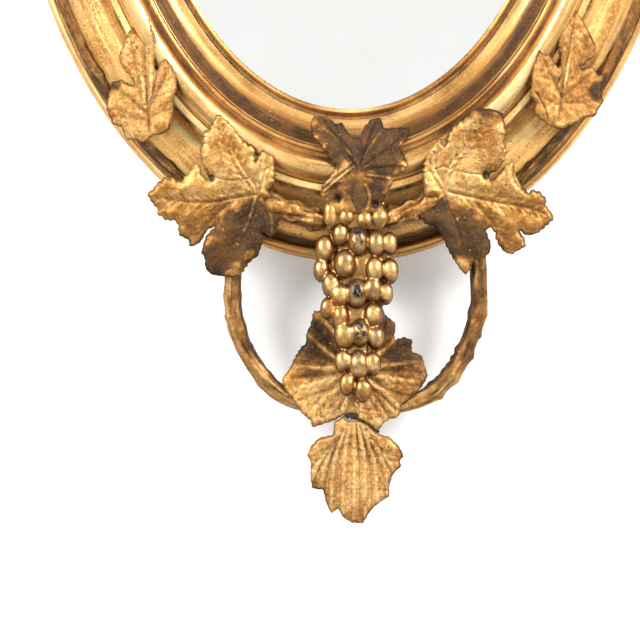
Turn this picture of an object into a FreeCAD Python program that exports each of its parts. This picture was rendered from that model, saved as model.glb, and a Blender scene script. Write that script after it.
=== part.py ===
"""Oval giltwood wall mirror with vine leaves and a grape pendant, in millimetres.

+Z is up, the glass faces -Y and the wall is on the +Y side. The origin is the middle of the
hanging plate's hole. Angles run round the oval from 0 at the bottom, past +X, to 180 at the top.
A rail share runs from 0 at the rail's outer edge to 1 at the sight edge beside the glass.
A level is a height above the back of the carcass, towards the viewer.
"""
import FreeCAD, Part
import math
import os

Vector = FreeCAD.Vector

# Clearances
GLUE_GAP = 0.05
SEAT_GAP = 0.3
PIN_CLEARANCE = 0.05
RUN_CLEARANCE = 0.1
OVERRUN = 5.0

# Oval and rail
OVAL_WIDTH = 512.0
OVAL_HEIGHT = 724.0
SIDE_RAIL_WIDTH = 99.0
END_RAIL_WIDTH = 115.0
HANG_DROP = 44.0
HANG_RISE = OVAL_HEIGHT / 2 - HANG_DROP

# What lies in the rebate, and the carcass that is as deep as the stack
GLASS_THICKNESS = 4.0
FELT_THICKNESS = 2.0
BOARD_THICKNESS = 10.0
CARCASS_THICKNESS = GLASS_THICKNESS + FELT_THICKNESS + BOARD_THICKNESS
REBATE_SHARE = 0.925
BOARD_SHARE = 0.932
GLASS_SHARE = 0.94
TONGUE_WIDTH = 4.0
TONGUE_THICKNESS = 3.0
TONGUE_ROOM = 0.2
PLANK_SHARE = 0.36
SPLINE_LENGTH = 60.0
SPLINE_WIDTH = 30.0
SPLINE_THICKNESS = 5.0
SPLINE_SHARE = 0.45

# Heights of the mouldings, and the quarter-round weight of their curves
RIM_LEVEL = 24.0
RIM_SHOULDER_LEVEL = 18.5
PLATE_LEVEL = 27.5
PLATE_CHIN_LEVEL = 25.0
VALLEY_LEVEL = 25.5
QUIRK_LEVEL = 37.0
FILLET_LEVEL = 44.0
TORUS_FOOT_LEVEL = 43.0
TORUS_LEVEL = 54.0
GROOVE_LEVEL = 44.5
BEAD_LEVEL = 49.0
COVE_TOP_LEVEL = 46.0
COVE_FLOOR_LEVEL = 23.0
SIGHT_GROOVE_LEVEL = 20.5
SIGHT_BEAD_LEVEL = 26.0
CURVE_WEIGHT = math.sqrt(0.5)

# Where each moulding starts and stops across the rail
RIM_SHARES = (0.0, 0.04, 0.08)
PLATE_SHARES = (0.14, 0.12, 0.127)
VALLEY_SHARES = (0.20, 0.26, 0.31)
QUIRK_SHARES = (0.40, 0.42, 0.445)
FILLET_SHARE = 0.49
TORUS_SHARES = (0.495, 0.58, 0.665)
BEAD_SHARES = (0.69, 0.7075, 0.725)
COVE_SHARES = (0.73, 0.735, 0.93)
SIGHT_BEAD_SHARES = (0.953, 0.9765, 1.0)

# Screws that hold the mouldings to the carcass
SCREW_ANGLES = (22.5, 67.5, 112.5, 157.5, 202.5, 247.5, 292.5, 337.5)
SCREW_HEAD_RADIUS = 4.0
SCREW_HEAD_DEPTH = 2.4
SCREW_RADIUS = 2.0
COVE_SCREW_SHARE = 0.34
COVE_SCREW_LEVEL = 22.0
TORUS_SCREW_SHARE = 0.58
TORUS_SCREW_LEVEL = 36.0

# Turn buttons
BUTTON_SHARE = 0.84
BUTTON_LENGTH = 34.0
BUTTON_WIDTH = 12.0
BUTTON_THICKNESS = 3.0
BUTTON_GAP = 0.3
BUTTON_SCREW_RADIUS = 1.8
BUTTON_SCREW_DEPTH = 11.0
BUTTON_HEAD_RADIUS = 4.0
BUTTON_HEAD_HEIGHT = 2.0

# Hanging plate
HANG_HOLE_RADIUS = 6.0
HANG_PLATE_WIDTH = 34.0
HANG_PLATE_THICKNESS = 3.0
HANG_PLATE_TOP = 17.0
HANG_PLATE_FOOT = 9.0
HANG_PLATE_CORNER = 8.5
HANG_POCKET_RADIUS = 11.0
HANG_POCKET_DEPTH = 10.0
HANG_SCREW_SPREAD = 16.0
HANG_SCREW_MARGIN = 21.0
HANG_SCREW_DROP = END_RAIL_WIDTH - HANG_DROP - HANG_SCREW_MARGIN
HANG_PITCH_SHARE = 0.36
HANG_SCREW_PITCH = HANG_PITCH_SHARE * HANG_SCREW_DROP
HANG_PLATE_HEIGHT = HANG_PLATE_TOP + HANG_SCREW_DROP + HANG_PLATE_FOOT
HANG_SCREW_DEPTH = 12.0

# Wall bumpers
BUMPER_ANGLES = {"left": -38.0, "right": 38.0}
BUMPER_SHARE = 0.45
BUMPER_RADIUS = 11.0
BUMPER_THICKNESS = 6.0
TACK_RADIUS = 1.2
TACK_HEAD_RADIUS = 3.5
TACK_HEAD_THICKNESS = 1.0
TACK_SINK = 1.0
TACK_DEPTH = 9.0

# Climbing vines that lie on the plate's edge
SIDE_VINE_RADIUS = 4.3
SIDE_VINE_SHARE = 0.105
SIDE_VINE_START = 24.0
SIDE_VINE_STOP = 166.0

# Pendant: two vine stems, its axis, the leaf behind the grapes and the leaf's tip
PENDANT_OFFSET = 4.3
PENDANT_WIDTH_SHARE = 0.18
PENDANT_HALF_WIDTH = PENDANT_WIDTH_SHARE * OVAL_WIDTH
PENDANT_DROP = 109.0
PENDANT_VINE_RADIUS = 6.4
PENDANT_VINE_LEVEL = RIM_LEVEL + SEAT_GAP + PENDANT_VINE_RADIUS
VINE_ROOT_RISE = 3.0
VINE_ROOT_LEVEL = PLATE_LEVEL + PENDANT_VINE_RADIUS + VINE_ROOT_RISE
VINE_ROOT_SHARES = (0.93, -0.45)
VINE_ROUTE_SHARES = ((1.0, 0.12), (1.0, 0.31), (0.955, 0.48), (0.87, 0.65), (0.73, 0.82), (0.54, 0.94),
                     (0.24, 1.0))
BEND_SHARE = 0.45
WIRE_RADIUS = 1.5
WIRE_ANCHOR_LEVEL = 6.0
PENDANT_LEAF_DROP = 82.5
TIP_LEAF_DROP = 156.0
DOWEL_RADIUS = 1.2
DOWEL_LENGTH = 26.0
DOWEL_DROP = 117.0
DOWEL_OFFSET = -4.5

# Leaves
LEAF_REACH = 75.0
LEAF_THICKNESS = 5.0
LEAF_RELIEF = 20.0
LEAF_MARGIN = 2.0
LEAF_NESTLE = 1.0
PENDANT_LEAF_LEVEL = PENDANT_VINE_LEVEL + PENDANT_VINE_RADIUS + LEAF_THICKNESS - LEAF_NESTLE
CLIMBING_LEAF_LEVEL = PLATE_LEVEL + 2 * SIDE_VINE_RADIUS + LEAF_THICKNESS + 2 * SEAT_GAP
BOSS_RADIUS = 7.0
LEAF_PIN_RADIUS = 1.0
LEAF_PIN_SINK = 1.0
LEAF_PIN_ROOM = 3.0

# Twigs between the middle leaf and its neighbours
TWIG_RADIUS = 5.5
TWIG_SHARES = ((0.06, 0.75, -0.03), (0.24, 1.0, -0.14), (0.44, 0.85, -0.20), (0.61, 1.1, -0.26),
               (0.72, 0.9, -0.29))
TWIG_LEVEL = TORUS_LEVEL - TWIG_RADIUS

# Grapes
BUNCH_WIDTH = 62.0
BUNCH_LENGTH = 131.0
BUNCH_RISE = 27.0
CORE_WIDTH_SHARES = (1.0, 0.55)
CORE_BACKS = (-7.0, -2.0)
CORE_FRONTS = (0.5, 3.5)
GRAPE_STAND = 7.0
BUNCH_CROWN = 7.0
BUNCH_STAND = 5.0
BUNCH_LEVEL = PENDANT_LEAF_LEVEL + BUNCH_STAND
BUNCH_BOSS_RADIUS = 8.0
BUNCH_BOSS_DROP = 9.0
GRAPE_WIDTH = 12.4
GRAPE_LENGTH = 17.5
DROP_WIDTH = 8.4
DROP_LENGTH = 14.8
DROP_PAD_HEIGHT = 11.0
DROP_PAD_WIDTH = 42.0

# Outlines as shares of a leaf's reach, from the point where its veins meet, clockwise
LEFT_LEAF_SHARES = (
    (-0.38, 0.80), (-0.28, 0.72), (-0.19, 0.62), (-0.12, 0.52), (-0.06, 0.48), (-0.01, 0.47),
    (0.00, 0.39), (-0.01, 0.30), (0.02, 0.37), (0.07, 0.44), (0.11, 0.40), (0.17, 0.38), (0.19, 0.30),
    (0.19, 0.11), (0.12, 0.03), (0.18, -0.05), (0.26, -0.07), (0.30, -0.14), (0.23, -0.19), (0.24, -0.26),
    (0.19, -0.43), (0.14, -0.44), (0.07, -0.39), (0.08, -0.46), (0.02, -0.63), (-0.06, -0.68),
    (-0.16, -0.83), (-0.31, -0.83), (-0.45, -0.81), (-0.51, -0.74), (-0.51, -0.64), (-0.55, -0.59),
    (-0.50, -0.42), (-0.40, -0.32), (-0.49, -0.37), (-0.55, -0.49), (-0.66, -0.54), (-0.67, -0.46),
    (-0.77, -0.42), (-0.78, -0.30), (-0.81, -0.27), (-0.90, -0.27), (-0.99, -0.20), (-0.98, -0.16),
    (-1.04, -0.09), (-1.09, 0.00), (-1.03, 0.04), (-0.99, 0.10), (-0.90, 0.17), (-0.83, 0.16),
    (-0.76, 0.11), (-0.68, 0.20), (-0.59, 0.33), (-0.54, 0.21), (-0.50, 0.14), (-0.47, 0.17),
    (-0.53, 0.28), (-0.56, 0.41), (-0.54, 0.48), (-0.54, 0.61), (-0.47, 0.63), (-0.43, 0.70))
RIGHT_LEAF_SHARES = (
    (-0.21, 0.31), (-0.15, 0.43), (-0.06, 0.55), (-0.01, 0.44), (0.02, 0.59), (0.11, 0.68), (0.17, 0.73),
    (0.24, 0.80), (0.35, 0.83), (0.46, 0.82), (0.57, 0.78), (0.59, 0.67), (0.62, 0.60), (0.59, 0.47),
    (0.63, 0.42), (0.59, 0.30), (0.51, 0.20), (0.44, 0.18), (0.45, 0.11), (0.52, 0.16), (0.60, 0.27),
    (0.68, 0.31), (0.70, 0.18), (0.76, 0.07), (0.83, -0.01), (0.88, 0.03), (0.96, -0.01), (1.02, -0.08),
    (1.00, -0.12), (1.10, -0.26), (1.02, -0.34), (0.92, -0.42), (0.81, -0.44), (0.73, -0.37),
    (0.80, -0.47), (0.81, -0.55), (0.74, -0.58), (0.67, -0.63), (0.59, -0.60), (0.52, -0.51),
    (0.49, -0.39), (0.44, -0.35), (0.41, -0.40), (0.46, -0.51), (0.45, -0.61), (0.39, -0.66),
    (0.30, -0.68), (0.22, -0.83), (0.16, -0.79), (0.04, -0.60), (-0.03, -0.45), (-0.10, -0.34),
    (-0.18, -0.34), (-0.28, -0.24), (-0.27, -0.12), (-0.21, -0.02), (-0.23, 0.16))
CENTRE_LEAF_SHARES = (
    (-0.41, 0.58), (-0.33, 0.55), (-0.26, 0.57), (-0.21, 0.48), (-0.13, 0.49), (-0.08, 0.40),
    (-0.03, 0.34), (0.04, 0.32), (0.08, 0.44), (0.16, 0.53), (0.25, 0.54), (0.29, 0.43), (0.41, 0.44),
    (0.54, 0.44), (0.52, 0.33), (0.44, 0.23), (0.49, 0.15), (0.53, 0.06), (0.47, -0.02), (0.35, -0.05),
    (0.37, -0.12), (0.31, -0.23), (0.28, -0.31), (0.19, -0.34), (0.13, -0.40), (0.04, -0.44),
    (-0.06, -0.39), (-0.11, -0.31), (-0.19, -0.27), (-0.29, -0.32), (-0.35, -0.24), (-0.34, -0.15),
    (-0.26, -0.06), (-0.20, 0.04), (-0.27, 0.14), (-0.35, 0.25), (-0.43, 0.35), (-0.45, 0.48))
PENDANT_LEAF_SHARES = (
    (-0.43, 0.61), (-0.32, 0.61), (0.28, 0.58), (0.34, 0.53), (0.40, 0.48), (0.38, 0.32), (0.49, 0.35),
    (0.57, 0.31), (0.55, 0.21), (0.66, 0.16), (0.69, 0.05), (0.72, -0.04), (0.66, -0.15), (0.56, -0.26),
    (0.44, -0.35), (0.43, -0.45), (0.30, -0.49), (0.21, -0.60), (0.10, -0.51), (0.00, -0.46),
    (-0.11, -0.42), (-0.22, -0.49), (-0.32, -0.52), (-0.44, -0.56), (-0.45, -0.49), (-0.53, -0.43),
    (-0.60, -0.33), (-0.70, -0.20), (-0.75, -0.08), (-0.67, 0.02), (-0.60, 0.17), (-0.54, 0.26),
    (-0.50, 0.28), (-0.50, 0.38), (-0.45, 0.48))
TIP_LEAF_SHARES = (
    (-0.22, 0.48), (-0.11, 0.55), (0.00, 0.51), (0.10, 0.46), (0.20, 0.38), (0.25, 0.35), (0.33, 0.33),
    (0.42, 0.25), (0.48, 0.14), (0.44, 0.10), (0.45, 0.03), (0.37, -0.04), (0.35, -0.11), (0.33, -0.17),
    (0.34, -0.26), (0.25, -0.32), (0.16, -0.39), (0.11, -0.47), (0.07, -0.54), (-0.05, -0.53),
    (-0.13, -0.48), (-0.18, -0.39), (-0.25, -0.44), (-0.30, -0.33), (-0.33, -0.20), (-0.44, -0.19),
    (-0.46, -0.06), (-0.45, 0.08), (-0.49, 0.14), (-0.45, 0.24), (-0.37, 0.32), (-0.23, 0.35))
CLIMBING_LEFT_SHARES = (
    (0.06, -0.17), (0.13, -0.17), (0.22, -0.12), (0.24, -0.03), (0.26, 0.07), (0.26, 0.18), (0.30, 0.29),
    (0.29, 0.43), (0.23, 0.54), (0.18, 0.59), (0.13, 0.55), (0.10, 0.46), (0.07, 0.52), (0.10, 0.66),
    (0.10, 0.78), (0.05, 0.91), (-0.02, 1.06), (-0.10, 0.95), (-0.18, 0.87), (-0.24, 0.74), (-0.29, 0.62),
    (-0.26, 0.51), (-0.17, 0.41), (-0.14, 0.38), (-0.14, 0.32), (-0.21, 0.36), (-0.27, 0.39),
    (-0.36, 0.36), (-0.38, 0.27), (-0.42, 0.12), (-0.38, 0.01), (-0.35, -0.06), (-0.26, -0.09),
    (-0.21, -0.22), (-0.12, -0.21), (-0.05, -0.26))
CLIMBING_RIGHT_SHARES = (
    (-0.20, 0.53), (-0.13, 0.47), (-0.09, 0.49), (-0.04, 0.41), (0.00, 0.35), (0.02, 0.42), (0.00, 0.52),
    (0.00, 0.66), (0.07, 0.82), (0.16, 0.96), (0.24, 0.84), (0.32, 0.70), (0.38, 0.58), (0.38, 0.47),
    (0.30, 0.42), (0.23, 0.34), (0.32, 0.38), (0.37, 0.35), (0.39, 0.30), (0.46, 0.27), (0.44, 0.13),
    (0.46, 0.02), (0.40, -0.07), (0.38, -0.13), (0.27, -0.14), (0.16, -0.21), (0.04, -0.27),
    (-0.05, -0.24), (-0.13, -0.20), (-0.21, -0.14), (-0.25, -0.10), (-0.23, 0.00), (-0.29, 0.06),
    (-0.27, 0.17), (-0.26, 0.34))

# How far each leaf bends, in shares of the relief, in rows from its lower to its upper edge
LEFT_BEND_SHARES = ((-0.80, -0.70, -0.50), (-0.60, 0.00, 0.35), (0.10, 0.40, 0.45))
RIGHT_BEND_SHARES = ((-0.50, -0.70, -0.80), (0.35, 0.00, -0.60), (0.45, 0.40, 0.10))
CENTRE_BEND_SHARES = ((0.10, 0.25, 0.10), (0.35, 0.50, 0.35), (0.45, 0.55, 0.45), (-1.00, -0.90, -1.00))
PENDANT_BEND_SHARES = ((-0.10, 0.00, -0.10), (-0.30, 0.20, -0.30), (-0.20, 0.10, -0.20))
TIP_BEND_SHARES = ((-0.40, -0.20, -0.40), (-0.20, 0.10, -0.20), (-0.05, -0.03, -0.05))
CLIMBING_LEFT_BEND_SHARES = ((-0.10, 0.15, 0.60), (-0.05, 0.25, 1.15), (0.00, 0.45, 1.20))
CLIMBING_RIGHT_BEND_SHARES = ((0.60, 0.15, -0.10), (1.15, 0.25, -0.05), (1.20, 0.45, 0.00))

# Grapes: place across the bunch, place down it, and size, all as shares
GRAPE_SHARES = (
    (-0.19, 0.05, 0.90), (0.02, 0.09, 1.13), (0.25, 0.10, 0.97), (0.41, 0.10, 0.85), (-0.38, 0.13, 1.02),
    (-0.13, 0.22, 1.15), (0.23, 0.25, 0.97), (0.42, 0.26, 0.92), (-0.42, 0.25, 0.88), (-0.30, 0.34, 0.97),
    (-0.19, 0.40, 1.00), (0.01, 0.40, 1.06), (0.20, 0.37, 0.98), (0.36, 0.39, 0.78), (-0.33, 0.47, 0.82),
    (-0.19, 0.53, 0.90), (0.22, 0.51, 0.97), (-0.13, 0.63, 1.10), (0.05, 0.61, 1.02), (0.25, 0.64, 0.90),
    (-0.15, 0.77, 0.82), (0.03, 0.80, 1.12), (0.21, 0.79, 0.90), (-0.10, 0.90, 0.82), (0.10, 0.94, 0.90))
CORE_SHARES = ((0.02, 0.22), (0.12, 0.40), (0.30, 0.40), (0.50, 0.30), (0.70, 0.24), (0.88, 0.15),
               (0.95, 0.06))
DROP_SHARES = ((-0.26, -0.41), (-0.09, -0.42), (0.09, -0.46), (0.23, -0.45))
DROP_PAD_SHARE = -0.36

# Places of the leaves on the rail: angle and rail share, then the turn of the outline
LEAVES = {
    "left_leaf": (LEFT_LEAF_SHARES, LEFT_BEND_SHARES, -18.2, 0.30, 0.0, TORUS_LEVEL),
    "right_leaf": (RIGHT_LEAF_SHARES, RIGHT_BEND_SHARES, 18.3, 0.31, 0.0, TORUS_LEVEL),
    "climbing_leaf_left": (CLIMBING_LEFT_SHARES, CLIMBING_LEFT_BEND_SHARES, -40.6, 0.23, 0.0,
                           CLIMBING_LEAF_LEVEL),
    "climbing_leaf_right": (CLIMBING_RIGHT_SHARES, CLIMBING_RIGHT_BEND_SHARES, 42.6, 0.27, 0.0,
                            CLIMBING_LEAF_LEVEL),
    "middle_leaf_left": (CLIMBING_LEFT_SHARES, CLIMBING_LEFT_BEND_SHARES, -84.0, 0.24, 6.0,
                         CLIMBING_LEAF_LEVEL),
    "middle_leaf_right": (CLIMBING_RIGHT_SHARES, CLIMBING_RIGHT_BEND_SHARES, 84.0, 0.27, -6.0,
                          CLIMBING_LEAF_LEVEL),
    "shoulder_leaf_left": (CLIMBING_LEFT_SHARES, CLIMBING_LEFT_BEND_SHARES, -124.0, 0.24, 24.0,
                           CLIMBING_LEAF_LEVEL),
    "shoulder_leaf_right": (CLIMBING_RIGHT_SHARES, CLIMBING_RIGHT_BEND_SHARES, 124.0, 0.27, -24.0,
                            CLIMBING_LEAF_LEVEL),
    "crest_leaf_left": (RIGHT_LEAF_SHARES, RIGHT_BEND_SHARES, 198.3, 0.31, 180.0, TORUS_LEVEL),
    "crest_leaf_right": (LEFT_LEAF_SHARES, LEFT_BEND_SHARES, 161.8, 0.30, 180.0, TORUS_LEVEL),
    "crest_leaf_centre": (CENTRE_LEAF_SHARES, CENTRE_BEND_SHARES, 180.0, 0.584, 180.0, TORUS_LEVEL),
    "centre_leaf": (CENTRE_LEAF_SHARES, CENTRE_BEND_SHARES, 1.1, 0.584, 0.0, TORUS_LEVEL),
}
FLAT_ON_RAIL = ("crest_leaf_centre", "centre_leaf")
CARCASS = ("carcass_right", "carcass_top", "carcass_left", "carcass_bottom")
CARCASS_CORNERS = (45.0, 135.0, 225.0, 315.0)

BACK_Y = -HANG_PLATE_THICKNESS / 2
OVAL_CENTRE_Z = -HANG_RISE
OUTER_FOOT_Z = OVAL_CENTRE_Z - OVAL_HEIGHT / 2
FULL_TURN = 360.0
QUARTER_TURN = 90.0
DRAFT_DEPTH = 2 * TORUS_LEVEL


def rail_axes(share):
    """Half width and half height of the oval at a share of the rail."""
    return OVAL_WIDTH / 2 - share * SIDE_RAIL_WIDTH, OVAL_HEIGHT / 2 - share * END_RAIL_WIDTH


def depth(level):
    """The y of a level."""
    return BACK_Y - level


def rail_point(angle, share, level):
    """A point of the rail."""
    across, upright = rail_axes(share)
    turn = math.radians(angle)
    return Vector(across * math.sin(turn), depth(level), OVAL_CENTRE_Z - upright * math.cos(turn))


def rail_outward(angle):
    """The direction across the rail, away from the glass."""
    turn = math.radians(angle)
    outward = Vector(SIDE_RAIL_WIDTH * math.sin(turn), 0, -END_RAIL_WIDTH * math.cos(turn))
    return outward.normalize()


def arc_poles(start, stop):
    """Poles and weights of a unit arc, with 0 degrees at the bottom."""
    first, last = math.radians(start), math.radians(stop)
    middle, weight = (first + last) / 2, math.cos((last - first) / 2)
    return ((math.sin(first), -math.cos(first), 1.0),
            (math.sin(middle) / weight, -math.cos(middle) / weight, weight),
            (math.sin(last), -math.cos(last), 1.0))


def profile_edges(start, steps):
    """Poles of each edge of a closed profile: a step is an end point, or a corner and an end."""
    edges, here = [], start
    for step in steps:
        poles = [(*here, 1.0)]
        if len(step) == 2 and isinstance(step[0], tuple):
            corner, here = step
            poles.append((*corner, CURVE_WEIGHT))
        else:
            here = step
        poles.append((*here, 1.0))
        edges.append(poles)
    return edges


def oval_face(edge, start, stop):
    """The face that one edge of a profile sweeps along the oval."""
    poles, weights = [], []
    arc = arc_poles(start, stop)
    for share, level, edge_weight in edge:
        across, upright = rail_axes(share)
        poles.append([Vector(across * s, depth(level), OVAL_CENTRE_Z + upright * c) for s, c, w in arc])
        weights.append([edge_weight * w for s, c, w in arc])
    count = len(edge)
    surface = Part.BSplineSurface()
    surface.buildFromPolesMultsKnots(poles, (count, count), (3, 3), (0, 1), (0, 1), False, False,
                                     count - 1, 2, weights)
    return surface.toShape()


def oval_cap(edges, angle):
    """The flat end of a stretch of moulding."""
    outline = []
    for edge in edges:
        curve = Part.BSplineCurve()
        count = len(edge)
        curve.buildFromPolesMultsKnots([rail_point(angle, share, level) for share, level, w in edge],
                                       (count, count), (0, 1), False, count - 1, [w for s, l, w in edge])
        outline.append(curve.toShape())
    return Part.Face(Part.Wire(outline))


def oval_moulding(start_point, steps, start=0.0, stop=FULL_TURN):
    """A closed profile swept round the oval, the whole way or from one angle to another."""
    edges = profile_edges(start_point, steps)
    spans = math.ceil((stop - start) / QUARTER_TURN)
    step = (stop - start) / spans
    faces = [oval_face(edge, start + k * step, start + (k + 1) * step)
             for k in range(spans) for edge in edges]
    if stop - start < FULL_TURN:
        faces += [oval_cap(edges, start), oval_cap(edges, stop)]
    shell = Part.makeShell(faces)
    shell.sewShape()
    solid = Part.makeSolid(shell)
    if solid.Volume < 0:
        solid.reverse()
    return solid


def oval_disc(share, level, thickness):
    """A flat oval that starts at a level and is as thick towards the viewer as given."""
    across, upright = rail_axes(share)
    centre = Vector(0, depth(level), OVAL_CENTRE_Z)
    oval = Part.Ellipse(centre + Vector(0, 0, upright), centre + Vector(across, 0, 0), centre)
    return Part.Face(Part.Wire(oval.toShape())).extrude(Vector(0, -thickness, 0))


def peg(point, radius, low, high):
    """A round bar square to the wall, from one level to another."""
    foot = Vector(point.x, depth(low), point.z)
    return Part.makeCylinder(radius, high - low, foot, Vector(0, -1, 0))


def largest(shape):
    """The largest solid of a cut piece."""
    return max(shape.Solids, key=lambda solid: solid.Volume)


def seated(piece, neighbours, shifts=(Vector(0, -GLUE_GAP, 0),)):
    """A piece with its neighbours cut from it, a glue line in front of them unless other shifts are given."""
    for neighbour in neighbours:
        if piece.BoundBox.intersect(neighbour.BoundBox):
            for shift in shifts:
                moved = neighbour.copy()
                moved.translate(shift)
                piece = largest(piece.cut(moved))
    return piece


def countersunk_screw(point, face_level, tip_level):
    """A wood screw let into the back, with its head flush, that runs towards the viewer."""
    face = Vector(point.x, depth(face_level), point.z)
    forward = Vector(0, -1, 0)
    head = Part.makeCone(SCREW_HEAD_RADIUS, SCREW_RADIUS, SCREW_HEAD_DEPTH, face, forward)
    return head.fuse(peg(point, SCREW_RADIUS, face_level, tip_level)).removeSplitter()


def countersunk_hole(point, face_level, tip_level):
    """The hole for such a screw."""
    face = Vector(point.x, depth(face_level), point.z)
    forward = Vector(0, -1, 0)
    wide, narrow = SCREW_HEAD_RADIUS + PIN_CLEARANCE, SCREW_RADIUS + PIN_CLEARANCE
    head = Part.makeCone(wide, narrow, SCREW_HEAD_DEPTH, face, forward)
    return head.fuse(peg(point, narrow, face_level, tip_level + PIN_CLEARANCE))


def carcass_segments():
    """The four segments of the carcass and the tongues in their joints."""
    half_gap = math.degrees(GLUE_GAP / OVAL_WIDTH)
    start = (0.0, 0.0)
    steps = ((0.0, CARCASS_THICKNESS), (REBATE_SHARE, CARCASS_THICKNESS), (REBATE_SHARE, 0.0), start)
    segments = {name: oval_moulding(start, steps, corner + half_gap, corner + QUARTER_TURN - half_gap)
                for name, corner in zip(CARCASS, CARCASS_CORNERS)}
    tongues = []
    for corner in CARCASS_CORNERS:
        for room in (0.0, PIN_CLEARANCE):
            size = (SPLINE_LENGTH + 2 * room, SPLINE_THICKNESS + 2 * room, SPLINE_WIDTH + 2 * room)
            tongue = Part.makeBox(*size, Vector(*(-side / 2 for side in size)))
            outward = rail_outward(corner)
            tongue.rotate(Vector(), Vector(0, 1, 0), math.degrees(math.atan2(-outward.z, outward.x)))
            tongue.translate(rail_point(corner, SPLINE_SHARE, CARCASS_THICKNESS / 2))
            if room:
                segments = {name: segment.cut(tongue) for name, segment in segments.items()}
            else:
                tongues.append(tongue)
    return segments, Part.makeCompound(tongues)


def rim_bead():
    """The round bead along the outer edge."""
    outer, crest, inner = RIM_SHARES
    foot = CARCASS_THICKNESS + GLUE_GAP
    start = (outer, foot)
    steps = ((outer, RIM_SHOULDER_LEVEL), ((outer, RIM_LEVEL), (crest, RIM_LEVEL)),
             ((inner, RIM_LEVEL), (inner, RIM_SHOULDER_LEVEL)), (inner, foot), start)
    return oval_moulding(start, steps)


def cove_moulding():
    """The plate with its sharp undercut edge, its valley and the fillet under the torus."""
    foot = CARCASS_THICKNESS + GLUE_GAP
    heel, chin, lip = PLATE_SHARES
    flat_end, valley, valley_end = VALLEY_SHARES
    rise, quirk, fillet = QUIRK_SHARES
    joint = FILLET_SHARE - GLUE_GAP / END_RAIL_WIDTH
    start = (heel, foot)
    steps = ((chin, PLATE_CHIN_LEVEL), (lip, PLATE_LEVEL), (flat_end, PLATE_LEVEL),
             ((valley, VALLEY_LEVEL), (valley_end, PLATE_LEVEL)), ((rise, PLATE_LEVEL), (quirk, QUIRK_LEVEL)),
             (fillet, QUIRK_LEVEL), (fillet, FILLET_LEVEL), (joint, FILLET_LEVEL), (joint, foot), start)
    return oval_moulding(start, steps)


def torus_moulding():
    """The torus, the groove beside it and the thin bead."""
    foot = CARCASS_THICKNESS + GLUE_GAP
    low, crest, high = TORUS_SHARES
    bead, bead_crest, bead_end = BEAD_SHARES
    joint = COVE_SHARES[0] - GLUE_GAP / END_RAIL_WIDTH
    start = (FILLET_SHARE, foot)
    steps = ((FILLET_SHARE, TORUS_FOOT_LEVEL), (low, TORUS_FOOT_LEVEL),
             ((low, TORUS_LEVEL), (crest, TORUS_LEVEL)), ((high, TORUS_LEVEL), (high, GROOVE_LEVEL)),
             (bead, GROOVE_LEVEL), ((bead, BEAD_LEVEL), (bead_crest, BEAD_LEVEL)),
             ((bead_end, BEAD_LEVEL), (bead_end, GROOVE_LEVEL)),
             (joint, GROOVE_LEVEL), (joint, foot), start)
    return oval_moulding(start, steps)


def sight_moulding():
    """The deep cove that falls to the glass, and the sight bead that holds the glass in."""
    foot = CARCASS_THICKNESS + GLUE_GAP
    outer, cove, cove_end = COVE_SHARES
    bead, crest, sight = SIGHT_BEAD_SHARES
    start = (outer, foot)
    steps = ((outer, COVE_TOP_LEVEL), (cove, COVE_TOP_LEVEL),
             ((cove, COVE_FLOOR_LEVEL), (cove_end, COVE_FLOOR_LEVEL)),
             (cove_end, SIGHT_GROOVE_LEVEL), (bead, SIGHT_GROOVE_LEVEL),
             ((bead, SIGHT_BEAD_LEVEL), (crest, SIGHT_BEAD_LEVEL)),
             ((sight, SIGHT_BEAD_LEVEL), (sight, SIGHT_GROOVE_LEVEL)), (sight, foot), start)
    return oval_moulding(start, steps)


def backboard_planks():
    """Three upright planks with tongues on the middle one and grooves in its neighbours."""
    board = oval_disc(BOARD_SHARE, 0.0, BOARD_THICKNESS)
    half = PLANK_SHARE * rail_axes(BOARD_SHARE)[0]
    tall = OVAL_HEIGHT
    foot_z = OVAL_CENTRE_Z - tall / 2
    front = depth(BOARD_THICKNESS) - OVERRUN
    deep = BOARD_THICKNESS + 2 * OVERRUN
    tongue_front = depth(BOARD_THICKNESS / 2) - TONGUE_THICKNESS / 2
    reach = half + TONGUE_WIDTH
    room = TONGUE_ROOM
    middle = Part.makeBox(2 * half, deep, tall, Vector(-half, front, foot_z))
    tongue = Part.makeBox(2 * reach, TONGUE_THICKNESS, tall, Vector(-reach, tongue_front, foot_z))
    wide_middle = Part.makeBox(2 * (half + GLUE_GAP), deep, tall, Vector(-half - GLUE_GAP, front, foot_z))
    groove = Part.makeBox(2 * (reach + room), TONGUE_THICKNESS + 2 * room, tall,
                          Vector(-reach - room, tongue_front - room, foot_z))
    sides = board.cut(wide_middle.fuse(groove)).Solids
    sides.sort(key=lambda solid: solid.CenterOfMass.x)
    centre = board.common(middle.fuse(tongue)).removeSplitter()
    return {"backboard_left": sides[0], "backboard_middle": centre, "backboard_right": sides[-1]}


def turn_button(angle):
    """A flat bar with round ends that turns on a screw through its middle."""
    low, high = -BUTTON_GAP - BUTTON_THICKNESS, -BUTTON_GAP
    pivot = rail_point(angle, BUTTON_SHARE, high)
    outward = rail_outward(angle)
    straight = (BUTTON_LENGTH - BUTTON_WIDTH) / 2
    bar = Part.makeBox(2 * straight, BUTTON_THICKNESS, BUTTON_WIDTH, Vector(-straight, 0, -BUTTON_WIDTH / 2))
    bar.rotate(Vector(), Vector(0, 1, 0), math.degrees(math.atan2(-outward.z, outward.x)))
    bar.translate(pivot)
    ends = [peg(pivot + outward * (side * straight), BUTTON_WIDTH / 2, low, high) for side in (-1, 1)]
    hole = peg(pivot, BUTTON_SCREW_RADIUS + RUN_CLEARANCE, low - OVERRUN, high + OVERRUN)
    return bar.fuse(ends).removeSplitter().cut(hole)


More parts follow.
